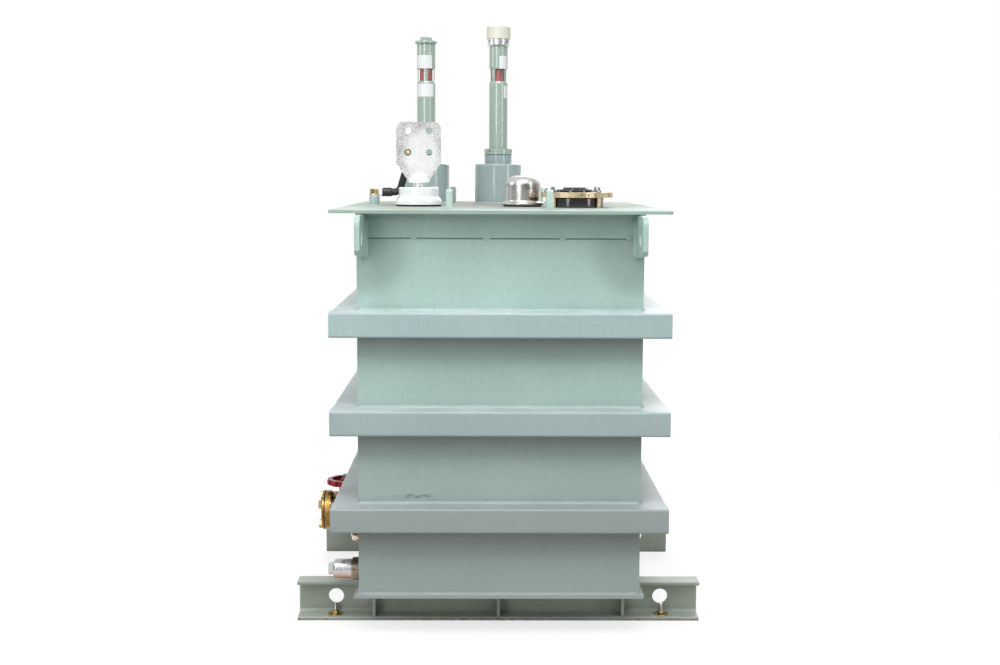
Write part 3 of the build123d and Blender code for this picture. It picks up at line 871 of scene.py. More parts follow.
# The ribs carry the walls' paint; their green is greyer and bluer here as painted light.
RIB_LIGHT_TINTED_GREEN = (0.41, 0.52, 0.53)
SOOT = ColourPatch((-0.165, -0.385, 0.282), (0.05, 0.1, 0.005), (0.05, 0.055, 0.04),
             share=0.6, torn=150.0, stretch=(0.45, 1.0, 1.5))
SKID_RUST = tuple(
    ColourPatch((x, side * 0.283, 0.0), (reach, 0.03, 0.006), (0.23, 0.12, 0.055), share=0.75, torn=75.0)
    for side in (-1, 1) for x, reach in ((-0.38, 0.06), (-0.05, 0.22), (0.33, 0.10))
)
WALL_PATCHES = (
    SOOT,
    # The next two patches are painted shade in the wall's upper corners beside the lifting lugs.
    ColourPatch((-0.265, -0.385, 0.745), (0.11, 0.05, 0.085), (0.24, 0.32, 0.29), share=0.5, torn=0.0),
    ColourPatch((0.265, -0.385, 0.745), (0.11, 0.05, 0.085), (0.24, 0.32, 0.29), share=0.5, torn=0.0),
    ColourPatch((0.0, -0.385, 0.781), (0.6, 0.1, 0.0022), (0.10, 0.12, 0.11), share=0.85, torn=0.0),
)
LID_PATCHES = (
    # The first patch makes the lid smoothly darker and browner towards its back middle.
    ColourPatch((0.0, 0.12, 0.835), (0.40, 0.46, 0.05), (0.33, 0.32, 0.285), share=0.66, torn=0.0),
    ColourPatch((0.0, 0.05, 0.835), (0.36, 0.50, 0.05), (0.26, 0.25, 0.22), share=0.24, torn=14.0),
    ColourPatch((0.0, 0.05, 0.835), (0.36, 0.50, 0.05), (0.20, 0.19, 0.165), share=0.3, torn=75.0),
    ColourPatch((-0.21, -0.33, 0.835), (0.08, 0.10, 0.05), (0.50, 0.44, 0.22), share=0.6, torn=40.0),
    ColourPatch((0.19, -0.33, 0.835), (0.05, 0.08, 0.05), (0.16, 0.13, 0.10), share=0.4, torn=60.0),
)
HUB_WHITE = ColourPatch((-0.169, -0.113, 0.882), (0.027, 0.06, 0.029), (0.95, 0.95, 0.95), share=1.0, torn=0.0)
# The palm is lighter in its middle, so that its pits show mostly towards its edges.
PALM_LIGHTER_MIDDLE = ColourPatch((-0.162, -0.103, 0.942), (0.044, 0.05, 0.060), (0.86, 0.86, 0.855), share=0.7, torn=0.0)
COLLAR_BROWN = ColourPatch((-0.2825, -0.315, 0.118), (0.0135, 0.2, 0.2), (0.20, 0.16, 0.10), share=0.9, torn=0.0)
# Painted reflection: the warm floor reflected on the lower half of the drain plug.
PLUG_FLOOR_REFLECTION = ColourPatch((-0.312, -0.315, 0.093), (0.05, 0.05, 0.025), (0.52, 0.27, 0.15), share=0.95, torn=0.0)
TINNED_TABS = tuple(
    ColourPatch(centre, reach, (0.64, 0.64, 0.63), share=1.0, torn=0.0, core=0.9)
    for centre, reach in (((-0.2645, -0.064, 0.8565), (0.0165, 0.03, 0.03)),
                          ((-0.1912, -0.0955, 0.9445), (0.02, 0.0025, 0.0145)))
)
# Painted reflection: a dark band round the dome below its shoulder, torn into patches.
DOME_REFLECTED_BAND = ColourPatch((0.049, -0.085, 0.877), (0.2, 0.2, 0.008), (0.20, 0.19, 0.18), share=0.75, torn=24.0)
VALVE_FLUSH = ColourPatch((-0.350, 0.115, 0.133), (0.028, 0.2, 0.2), (0.52, 0.34, 0.27), share=0.8, torn=0.0)
# Tank and front walls: painted shade towards the ground and painted shadow below the ribs.
TANK_PAINT = Enamel("tank_enamel", WALL_GREEN, "tank_paint", ground_shade=0.72, rib_shadow=0.52)
# Rib tops are paler with dust and painted top light, and the ribs darker towards the ground with painted
# shade.
RIB_PAINT = Enamel("rib_enamel", RIB_LIGHT_TINTED_GREEN, "tank_paint", ground_shade=0.95, dust_and_top_light=0.8,
                   dust_and_top_light_colour=(0.80, 0.85, 0.85))
FRONT_PAINT = Enamel("front_wall_enamel", WALL_GREEN, "tank_paint", ground_shade=0.72, rib_shadow=0.52,
                     colour_patches=WALL_PATCHES)
# The lid carries the tank's paint, darker here as painted shade to match its front edge; its top is paler
# with dust and painted top light.
LID_PAINT = Enamel("lid_enamel", (0.35, 0.455, 0.40), "tank_paint", roughness=0.7, gloss=0.2, dust_and_top_light=0.9,
                   dust_and_top_light_colour=(0.64, 0.70, 0.65), colour_patches=LID_PATCHES)
LUG_PAINT = Enamel("lug_enamel", (0.50, 0.64, 0.59), "tank_paint", roughness=0.4, dust_and_top_light=0.3)
SKID_PAINT = Enamel("skid_enamel", (0.36, 0.40, 0.35), "tank_paint", grime_and_shade=0.6, dust_and_top_light=0.25, colour_patches=SKID_RUST)
WELD_PAINT = Enamel("weld_enamel", (0.41, 0.54, 0.51), "tank_paint", roughness=0.42, ground_shade=0.72)
PEDESTAL_PAINT = Enamel("pedestal_enamel", (0.36, 0.455, 0.455), "pedestal_paint", roughness=0.13, gloss=0.7,
                        peel=0.008, cloud=0.04, streak=0.04)
GAUGE_PAINT = Enamel("gauge_enamel", (0.385, 0.485, 0.42), "gauge_paint", roughness=0.1, gloss=1.0,
                     peel=0.005, cloud=0.03, streak=0.03)
GLASS = Clear("clear_glass", (0.96, 0.98, 0.97), "gauge_glass")
FLOAT_RED = Moulded("red_float", (0.50, 0.025, 0.025), "float_red", roughness=0.3, coat=0.3)
RING_GREY = Metal("turned_ring", (0.74, 0.76, 0.78), "ring_grey", tint=(0.6, 0.62, 0.65), roughness=0.32,
                  grain=Grain.TURNED)
CREAM = Moulded("cream_cap", (0.80, 0.785, 0.685), "cap_cream", roughness=0.4, mottle=0.05)
RUBBER = Moulded("black_rubber", (0.018, 0.018, 0.018), "gasket_black", roughness=0.7)
PORCELAIN = Moulded("porcelain", (0.86, 0.875, 0.885), "porcelain_white", roughness=0.12, mottle=0.03,
                    skin=0.006, skin_scale=120.0, coat=0.6)
TINNED = Metal("tinned_stud", (0.92, 0.92, 0.90), "stud_tinned", tint=(0.8, 0.76, 0.68), roughness=0.3,
               grain=Grain.TURNED, metallic=0.5)
CAST_PALM = Metal("cast_palm", (0.77, 0.765, 0.76), "palm_cast", tint=(0.55, 0.535, 0.51), tint_share=0.6,
                  roughness=0.6, grain=Grain.CAST, speckle=0.95, speckle_shade=0.2, metallic=0.15,
                  colour_patches=(PALM_LIGHTER_MIDDLE, HUB_WHITE))
BOSS_PAINT = Enamel("boss_enamel", (0.40, 0.51, 0.50), "boss_paint", roughness=0.3)
SLEEVE = Moulded("shrink_sleeve", (0.022, 0.022, 0.025), "sleeve_black", roughness=0.38, skin=0.12,
                 skin_scale=180.0, colour_patches=TINNED_TABS)
DOME_METAL = Metal("polished_dome", (0.66, 0.65, 0.63), "dome_polished", tint=(0.48, 0.47, 0.45),
                   tint_scale=60.0, roughness=0.27, spread=0.06, grain=Grain.POLISHED, colour_patches=(DOME_REFLECTED_BAND,))
RELIEF_BLACK = Enamel("relief_enamel", (0.014, 0.014, 0.015), "relief_black", roughness=0.12, gloss=1.0,
                      grime_and_shade=0.0, chalk_and_highlight=0.12, dust_and_top_light=0.04, peel=0.008)
ZINC = Metal("yellow_zinc", (0.74, 0.62, 0.38), "zinc_yellow", tint=(0.68, 0.49, 0.42), tint_share=0.6,
             tint_scale=30.0, roughness=0.38, metallic=0.9)
AGED_ZINC = Metal("aged_zinc", (0.62, 0.48, 0.20), "zinc_yellow", tint=(0.36, 0.26, 0.12), tint_share=0.8,
                  tint_scale=110.0, roughness=0.3)
BRIGHT_STEEL = Metal("bright_steel", (0.86, 0.86, 0.85), tint=(0.7, 0.69, 0.66), roughness=0.25)
STUD_STEEL = Metal("stud_steel", (0.55, 0.56, 0.56), tint=(0.40, 0.39, 0.37), roughness=0.3)
GREY_STEEL = Metal("grey_steel", (0.36, 0.36, 0.35), tint=(0.24, 0.23, 0.22), roughness=0.35)
# The brasses darken strongly in corners: tarnish and painted shade.
BRASS = Metal("flange_brass", (0.32, 0.19, 0.055), "valve_brass", tint=(0.13, 0.07, 0.025), tint_share=0.8,
              roughness=0.25, grain=Grain.TURNED, tarnish_and_shade=0.85)
BODY_BRASS = Metal("body_brass", (0.38, 0.23, 0.07), "valve_brass", tint=(0.17, 0.09, 0.03), tint_share=0.75,
                   roughness=0.3, grain=Grain.CAST, tarnish_and_shade=0.85, colour_patches=(VALVE_FLUSH,))
BOLT_BRASS = Metal("bolt_brass", (0.48, 0.37, 0.19), "valve_brass", tint=(0.46, 0.28, 0.20), tint_share=0.8,
                   tint_scale=18.0, roughness=0.28)
PALE_BRASS = Metal("pale_brass", (0.76, 0.60, 0.48), "valve_brass", tint=(0.66, 0.48, 0.36), roughness=0.35)
# The wheel's near-black corner darkening is grime and painted shade in its gaps.
WHEEL_RED = Enamel("wheel_enamel", (0.26, 0.006, 0.014), "wheel_red", roughness=0.3, gloss=0.35, chalk_and_highlight=0.08,
                   dust_and_top_light=0.02, grime_and_shade=0.8, grime_and_shade_colour=(0.035, 0.003, 0.004))
PLUG_STEEL = Metal("plug_metal", (0.56, 0.56, 0.58), "plug_steel", tint=(0.38, 0.37, 0.37), tint_share=0.6,
                   roughness=0.3, grain=Grain.POLISHED, colour_patches=(PLUG_FLOOR_REFLECTION, COLLAR_BROWN))
STICKER = Moulded("blank_sticker", (0.86, 0.87, 0.89), roughness=0.5, mottle=0.04, grime_and_shade=0.1)
DARK_STEEL = Metal("dark_steel", (0.05, 0.05, 0.05), tint=(0.09, 0.08, 0.07), roughness=0.45)


def dress(finish: Finish, *nodes: str) -> None:
    """Gives frame pieces their finish and reports them.

    Args:
        finish: what their surface is.
        nodes: the names of the pieces.
    """
    for node in nodes:
        piece = frame["nodes"][node]
        piece.data.materials.clear()
        piece.data.materials.append(finish.material())
        log.info("%s: %s", node, finish.name)


@dataclass
class WeldBead:
    """Fillet weld with the ripples that a hand-laid bead has; sizes in millimetres."""

    leg: float = 4.5
    crown: float = 0.7
    ripple_pitch: float = 5.0
    ripple: float = 0.09
    step: float = 1.7
    points: int = 5
    ripple_lag: float = 0.7
    unevenness: float = 0.10
    knot_steps: int = 8
    spare_knots: int = 3
    least_steps: int = 3
    least_circle_steps: int = 16
    end_size: float = 0.35
    end_growth: float = 0.2
    root: float = 0.4

    def ring(self, corner: Vector, side_a: Vector, side_b: Vector, along: float, size: float) -> list[Triple]:
        """One cross-section of the bead.

        Args:
            corner: the inner corner that the weld fills.
            side_a, side_b: directions along the two plates.
            along: the distance from the bead's start.
            size: the bead's size here as a share of its full size.

        Returns:
            The section's points, with the last one sunk in the corner.
        """
        out = (side_a + side_b).normalized()
        section = []
        for k in range(self.points):
            share = k / (self.points - 1)
            lag = self.ripple_pitch * self.ripple_lag * math.sin(math.pi * share)
            phase = (along + lag) / self.ripple_pitch
            swell = size * (1 + self.ripple * math.sin(2 * math.pi * phase))
            chord = (side_a * (1 - share) + side_b * share) * self.leg * swell
            section.append(tuple(corner + chord + out * self.crown * swell * math.sin(math.pi * share)))
        section.append(tuple(corner - out * self.root))
        return section

    def along(self, draft: Draft, path: Sequence[Vector], sides: Sequence[tuple[Vector, Vector]], seed: int,
              loop: bool = False) -> None:
        """Bead along a path of corner points.

        Args:
            draft: the mesh to add to.
            path: points along the inner corner, a step apart.
            sides: the directions along the two plates at each point.
            seed: the start of the bead's own unevenness.
            loop: True for a bead that closes on itself.
        """
        draw = random.Random(seed)
        knots = [draw.uniform(-1, 1) for _ in range(len(path) // self.knot_steps + self.spare_knots)]
        rings = []
        for index, (corner, (side_a, side_b)) in enumerate(zip(path, sides)):
            knot, share = divmod(index / self.knot_steps, 1)
            drift = knots[int(knot)] * (1 - share) + knots[int(knot) + 1] * share
            size = 1 + self.unevenness * drift
            if not loop:
                from_end = min(index, len(path) - 1 - index)
                size *= min(1.0, self.end_size + self.end_growth * from_end)
            rings.append(self.ring(corner, side_a, side_b, index * self.step, size))
        draft.rings(rings, Matrix.Identity(4), loop)

    def line(self, draft: Draft, start: Triple, end: Triple, side_a: Triple, side_b: Triple,
             seed: int) -> None:
        """Straight bead between two points.

        Args:
            draft: the mesh to add to.
            start, end: the ends of the inner corner that the weld fills.
            side_a, side_b: directions along the two plates.
            seed: the start of the bead's own unevenness.
        """
        first, last = Vector(start), Vector(end)
        count = max(self.least_steps, round((last - first).length / self.step))
        path = [first.lerp(last, k / count) for k in range(count + 1)]
        self.along(draft, path, [(Vector(side_a), Vector(side_b))] * len(path), seed)

    def circle(self, draft: Draft, place: Matrix, radius: float, seed: int) -> None:
        """Bead round a pipe that stands on the place's XY plane.

        Args:
            draft: the mesh to add to.
            place: the pipe's axis.
            radius: the pipe's radius.
            seed: the start of the bead's own unevenness.
        """
        count = max(self.least_circle_steps, round(2 * math.pi * radius / self.step))
        turn = place.to_3x3()
        path, sides = [], []
        for k in range(count):
            angle = 2 * math.pi * k / count
            out = turn @ Vector((math.cos(angle), math.sin(angle), 0))
            path.append(place.translation + out * radius)
            sides.append((out, turn @ Vector((0, 0, 1))))
        self.along(draft, path, sides, seed, loop=True)


@dataclass
class Skids:
    """The two channel skids with their gussets, foot studs and welds."""

    stud_rise: float = 23.0
    foot_washer: float = 31.0
    anchor_inset: float = 20.0
    hole_from_end: float = 75.0
    flange: float = 7.5
    gusset: float = 6.0
    gusset_count: int = 3
    gusset_seed_step: int = 40
    floor_seed: int = 300
    floor_seed_step: int = 20
    edge_seed_step: int = 7
    weld_inset: float = 10.0
    floor_beads: tuple[Pair, ...] = ((-270.0, -90.0), (-40.0, 60.0), (110.0, 270.0))
    weld: WeldBead = field(default_factory=lambda: WeldBead(leg=3.5, crown=0.5))

    def build(self) -> None:
        """Dresses the skids and adds what is fixed to them."""
        dress(SKID_PAINT, "front_channel", "rear_channel", "front_gussets", "rear_gussets")
        self.foot_studs()
        self.welds()

    def foot_studs(self) -> None:
        """Stud, nut and washer on each foot flange."""
        nuts, studs = Draft(), Draft()
        hardware = Hardware(Screw.M8)
        for node, side in (("front_channel", -1), ("rear_channel", 1)):
            low, high = span(node)
            tip = low.y if side < 0 else high.y
            for x in (low.x + self.hole_from_end, high.x - self.hole_from_end):
                place = place_at(x, tip - side * self.anchor_inset, self.flange, turn_deg=x)
                rise = hardware.washer(nuts, place, 0.0, self.foot_washer)
                hardware.hexagon(nuts, place, rise, rise + hardware.screw.value.nut, both=True)
                hardware.thread(studs, place, rise, self.stud_rise)
        nuts.piece("foot_nuts", AGED_ZINC)
        studs.piece("foot_studs", STUD_STEEL)

    def welds(self) -> None:
        """Beads that hold the gussets to the webs, and the floor plate to the skids."""
        draft = Draft()
        for node, side in (("front", -1), ("rear", 1)):
            low, high = span(f"{node}_gussets")
            floor = span("floor_plate")[0].z
            channel_low, channel_high = span(f"{node}_channel")
            back = high.y if side < 0 else low.y
            pitch = (high.x - low.x - self.gusset) / (self.gusset_count - 1)
            for index in range(self.gusset_count):
                for hand in (-1, 1):
                    x = low.x + self.gusset / 2 + index * pitch + hand * self.gusset / 2
                    foot, head = low.z + self.weld_inset, high.z - self.weld_inset
                    self.weld.line(draft, (x, back, foot), (x, back, head), (hand, 0, 0), (0, side, 0),
                                   seed=index * 2 + hand + self.gusset_seed_step * side)
            for edge, hand in ((channel_low.y, -1), (channel_high.y, 1)):
                seed = self.floor_seed + self.edge_seed_step * hand + self.floor_seed_step * side
                for part, (start, end) in enumerate(self.floor_beads):
                    self.weld.line(draft, (start, edge, floor), (end, edge, floor), (0, hand, 0), (0, 0, -1),
                                   seed + part)
        draft.piece("skid_welds", SKID_PAINT)


@dataclass
class Tank:
    """The welded tank: walls, collar, ribs, floor and lid, with its beads and tack welds."""

    tack_places: tuple[float, ...] = (-166.0, -27.0, 118.0, 246.0)
    side_tack_places: tuple[float, ...] = (-270.0, -90.0, 90.0, 270.0)
    tack_length: float = 13.0
    tack_spread: Pair = (0.8, 1.2)
    tack_width: float = 7.0
    side_tack_turn: float = 90.0
    tack_rise: Pair = (1.6, 2.4)
    tack_profile: tuple[Pair, ...] = ((1.0, -0.5), (0.97, 0.25), (0.8, 0.7), (0.45, 0.95), (0.12, 1.0))
    tack_sides: int = 18
    tack_lobes: int = 3
    tack_unevenness: float = 0.10
    tack_seed: int = 11
    rib_height: float = 48.0
    rib_rows: int = 3
    row_seed_step: int = 10
    wall_seed_step: int = 100
    side_wall_seed: int = 50
    floor_seed: int = 500
    lid_seed: int = 600
    side_seed_step: int = 10
    bead: WeldBead = field(default_factory=WeldBead)

    def build(self) -> None:
        """Dresses the plates and adds the welds."""
        dress(FRONT_PAINT, "front_wall")
        dress(TANK_PAINT, "rear_wall", "left_wall", "right_wall", "end_collar_plates", "side_collar_plates",
              "floor_plate")
        dress(RIB_PAINT, "front_ribs", "rear_ribs", "left_ribs", "right_ribs")
        dress(LID_PAINT, "lid_plate")
        self.rib_welds()
        self.wall_welds()
        self.seam()

    def rib_welds(self) -> None:
        """Beads above and below each rib on every wall."""
        half_width = span("front_wall")[1].x
        depth_low, depth_high = span("left_ribs")[0].y, span("left_ribs")[1].y
        low, high = span("front_ribs")
        pitch = (high.z - low.z - self.rib_height) / (self.rib_rows - 1)
        walls = (("front", -1, False), ("rear", 1, False), ("left", -1, True), ("right", 1, True))
        for name, sign, is_side in walls:
            draft = Draft()
            if is_side:
                start, end = (sign * half_width, depth_low), (sign * half_width, depth_high)
            else:
                start, end = (-half_width, sign * depth_high), (half_width, sign * depth_high)
            out = (sign, 0, 0) if is_side else (0, sign, 0)
            wall_seed = self.wall_seed_step * sign + self.side_wall_seed * is_side
            for row in range(self.rib_rows):
                foot = low.z + row * pitch
                for edge, up in ((foot, -1), (foot + self.rib_height, 1)):
                    seed = row * self.row_seed_step + up + wall_seed
                    self.bead.line(draft, (*start, edge), (*end, edge), out, (0, 0, up), seed)
            draft.piece(f"{name}_rib_welds", WELD_PAINT)

    def wall_welds(self) -> None:
        """Beads where the walls stand on the floor plate and where the collar meets the lid."""
        draft = Draft()
        floor = span("floor_plate")[1].z
        lid = span("lid_plate")[0].z
        half_x, half_y = span("front_wall")[1].x, span("rear_wall")[1].y
        for level, up, seed in ((floor, 1, self.floor_seed), (lid, -1, self.lid_seed)):
            for sign in (-1, 1):
                self.bead.line(draft, (-half_x, sign * half_y, level), (half_x, sign * half_y, level),
                               (0, sign, 0), (0, 0, up), seed + sign)
                self.bead.line(draft, (sign * half_x, -half_y, level), (sign * half_x, half_y, level),
                               (sign, 0, 0), (0, 0, up), seed + self.side_seed_step + sign)
        draft.piece("wall_welds", WELD_PAINT)

    def seam(self) -> None:
        """Tack welds along the seam between the walls and their collar."""
        draft = Draft()
        seam = span("front_wall")[1].z
        half_y, half_x = span("rear_wall")[1].y, span("front_wall")[1].x
        draw = random.Random(self.tack_seed)
        for sign in (-1, 1):
            for x in self.tack_places:
                self.tack(draft, place_at(sign * -x, sign * half_y, seam, (0, sign, 0)), draw)
            for y in self.side_tack_places:
                place = place_at(sign * half_x, y, seam, (sign, 0, 0), self.side_tack_turn)
                self.tack(draft, place, draw)
        draft.piece("seam_tacks", WELD_PAINT)

    def tack(self, draft: Draft, place: Matrix, draw: random.Random) -> None:
        """One tack: a low blob, longer than it is high, standing on the place's XY plane.

        Args:
            draft: the mesh to add to.
            place: the tack's middle.
            draw: the source of its uneven size.
        """
        length = self.tack_length * draw.uniform(*self.tack_spread)
        rise = draw.uniform(*self.tack_rise)
        rings = []
        for share, lift in self.tack_profile:
            ring = []
            for k in range(self.tack_sides):
                angle = 2 * math.pi * k / self.tack_sides
                uneven = 1 + self.tack_unevenness * math.sin(self.tack_lobes * angle + length)
                reach = share * uneven / 2
                x, y = length * reach * math.cos(angle), self.tack_width * reach * math.sin(angle)
                ring.append((x, y, rise * lift))
            rings.append(ring)
        draft.rings(rings, place)


@dataclass
class Lugs:
    """Lifting lugs on the end walls and small lugs on the lid, with their welds."""

    lug_thickness: float = 10.0
    lid_lug_length: float = 60.0
    lid_lug_thickness: float = 12.0
    front_spread: float = 97.0
    rear_spread: float = 104.0
    shift: float = -2.0
    face_seed: int = 700
    heel_seed: int = 760
    lid_seed: int = 800
    bead: WeldBead = field(default_factory=lambda: WeldBead(leg=5.5, crown=0.9))
    small_bead: WeldBead = field(default_factory=lambda: WeldBead(leg=3.0, crown=0.4))

    def build(self) -> None:
        """Dresses the lugs and adds their welds."""
        dress(TANK_PAINT, "front_lifting_lugs", "rear_lifting_lugs")
        dress(LUG_PAINT, "lid_lugs")
        draft = Draft()
        self.lifting_welds(draft)
        self.lid_welds(draft)
        draft.piece("lug_welds", WELD_PAINT)

    def lifting_welds(self, draft: Draft) -> None:
        """Beads down both faces of each lifting lug and under its heel.

        Args:
            draft: the mesh to add to.
        """
        for node, sign in (("front_lifting_lugs", -1), ("rear_lifting_lugs", 1)):
            low, high = span(node)
            wall = high.y if sign < 0 else low.y
            for x in (low.x + self.lug_thickness / 2, high.x - self.lug_thickness / 2):
                for hand in (-1, 1):
                    face = x + hand * self.lug_thickness / 2
                    self.bead.line(draft, (face, wall, low.z), (face, wall, high.z - self.bead.leg),
                                   (hand, 0, 0), (0, sign, 0), seed=int(self.face_seed + face + sign))
                half = self.lug_thickness / 2
                self.bead.line(draft, (x - half, wall, low.z), (x + half, wall, low.z),
                               (0, sign, 0), (0, 0, -1), seed=int(self.heel_seed + x + sign))

    def lid_welds(self, draft: Draft) -> None:
        """Beads along both faces of each lid lug.

        Args:
            draft: the mesh to add to.
        """
        low, high = span("lid_lugs")
        for start, spread in ((low.y, self.front_spread), (high.y - self.lid_lug_length, self.rear_spread)):
            for x in (self.shift - spread, self.shift + spread):
                for hand in (-1, 1):
                    face = x + hand * self.lid_lug_thickness / 2
                    end = start + self.lid_lug_length
                    self.small_bead.line(draft, (face, start, low.z), (face, end, low.z), (hand, 0, 0),
                                         (0, 0, 1), seed=int(self.lid_seed + face + start))


@dataclass(frozen=True)
class SocketScrew:
    """End of a socket screw: a rim with a hollow, standing just proud of its hole; sizes in millimetres."""

    radius: float
    sunk: float = 2.0
    rim_rise: float = 0.1
    crown_rise: float = 0.35
    crown_share: float = 0.8
    mouth_share: float = 0.55
    socket_share: float = 0.5
    socket_depth: float = 1.6
    sides: int = 18

    def circle(self, draft: Draft, middle: Vector, radius: float, turns: Sequence[float]) -> None:
        """Screws round an upright cylinder.

        Args:
            draft: the mesh to add to.
            middle: the circle's centre.
            radius: the cylinder's radius.
            turns: each screw's angle in degrees.
        """
        outline = [(self.radius, -self.sunk), (self.radius, self.rim_rise),
                   (self.radius * self.crown_share, self.crown_rise),
                   (self.radius * self.mouth_share, self.crown_rise),
                   (self.radius * self.socket_share, -self.socket_depth)]
        for turn in turns:
            angle = math.radians(turn)
            out = Vector((math.cos(angle), math.sin(angle), 0))
            draft.turned(outline, place_at(*(middle + out * radius), out), self.sides)


@dataclass
class GaugeColumn:
    """One oil-gauge column on its pedestal, with its gasket, grub screws and bare stickers."""

    side: str
    sticker_turns: tuple[Pair, ...]
    sticker_heights: tuple[Pair, ...]
    grub_turns: tuple[float, ...] = (-128.0, -8.0, 112.0)
    grub_rise: float = 9.5
    grub_screw: SocketScrew = SocketScrew(2.6)
    gasket_heights: Triple = (0.05, 0.75, 1.45)
    gasket_bulge: float = 0.25
    gasket_width: float = 3.0
    gasket_sides: int = 56
    tube_radius: float = 21.25
    neck_radius: float = 30.9
    collar_radius: float = 32.0
    sticker_thickness: float = 0.18
    sticker_sunk: float = 0.05
    sticker_steps: int = 24
    weld_seed: int = 900
    bead: WeldBead = field(default_factory=lambda: WeldBead(leg=3.5, crown=0.4))
    x: float = field(init=False)
    y: float = field(init=False)
    foot: float = field(init=False)

    def build(self) -> None:
        """Dresses the column and adds its small pieces."""
        dress(PEDESTAL_PAINT, f"{self.side}_gauge_pedestal")
        dress(GAUGE_PAINT, f"{self.side}_gauge_tube")
        dress(GLASS, f"{self.side}_gauge_glass")
        dress(FLOAT_RED, f"{self.side}_gauge_float")
        low, high = span(f"{self.side}_gauge_tube")
        self.x, self.y = (low.x + high.x) / 2, (low.y + high.y) / 2
        self.foot = span(f"{self.side}_gauge_pedestal")[1].z
        self.gasket()
        self.grub_screws()
        self.stickers()
        self.base_weld()

    def gasket(self) -> None:
        """Black gasket between the neck and the tube's foot."""
        draft = Draft()
        rim, inner = self.neck_radius, self.neck_radius - self.gasket_width
        low, middle, high = self.gasket_heights
        section = [(inner, low), (rim, low), (rim + self.gasket_bulge, middle), (rim, high), (inner, high)]
        draft.turned(section, place_at(self.x, self.y, self.foot), self.gasket_sides, loop=True)
        draft.piece(f"{self.side}_gauge_gasket", RUBBER)

    def grub_screws(self) -> None:
        """Dark socket screws in the tube's foot collar."""
        draft = Draft()
        middle = Vector((self.x, self.y, self.foot + self.grub_rise))
        self.grub_screw.circle(draft, middle, self.collar_radius, self.grub_turns)
        draft.piece(f"{self.side}_gauge_grub_screws", DARK_STEEL)

    def stickers(self) -> None:
        """Plain white stickers bent round the tube."""
        draft = Draft()
        for turns, heights in zip(self.sticker_turns, self.sticker_heights):
            self.wrap(draft, turns, heights)
        draft.piece(f"{self.side}_gauge_stickers", STICKER)

    def wrap(self, draft: Draft, turns: Pair, heights: Pair) -> None:
        """Thin patch bent round the tube.

        Args:
            draft: the mesh to add to.
            turns: the patch's first and last angle in degrees.
            heights: its lower and upper edge.
        """
        inner, outer = self.tube_radius - self.sticker_sunk, self.tube_radius + self.sticker_thickness
        low, high = heights
        section = ((inner, low), (outer, low), (outer, high), (inner, high))
        rings = []
        for k in range(self.sticker_steps + 1):
            angle = math.radians(turns[0] + (turns[1] - turns[0]) * k / self.sticker_steps)
            rings.append([(r * math.cos(angle), r * math.sin(angle), z) for r, z in section])
        draft.rings(rings, place_at(self.x, self.y, 0))

    def base_weld(self) -> None:
        """Bead round the pedestal's foot on the lid."""
        draft = Draft()
        low, high = span(f"{self.side}_gauge_pedestal")
        self.bead.circle(draft, place_at(self.x, self.y, low.z), (high.x - low.x) / 2, self.weld_seed)
        draft.piece(f"{self.side}_gauge_weld", PEDESTAL_PAINT)


@dataclass
class GaugeTops:
    """Caps of the two gauge columns, and the screws in the right one's ring."""

    screw_turns: tuple[float, ...] = (-144.0, -35.0, 50.0, 130.0)
    screw_rise: float = 2.5
    screw: SocketScrew = SocketScrew(2.6)

    def build(self) -> None:
        """Dresses the caps and adds the ring's screws."""
        dress(GAUGE_PAINT, "left_gauge_cap")
        dress(RING_GREY, "right_gauge_ring")
        dress(CREAM, "right_gauge_cap")
        low, high = span("right_gauge_ring")
        middle = (low + high) / 2 + Vector((0, 0, self.screw_rise))
        draft = Draft()
        self.screw.circle(draft, middle, (high.x - low.x) / 2, self.screw_turns)
        draft.piece("ring_screws", DARK_STEEL)


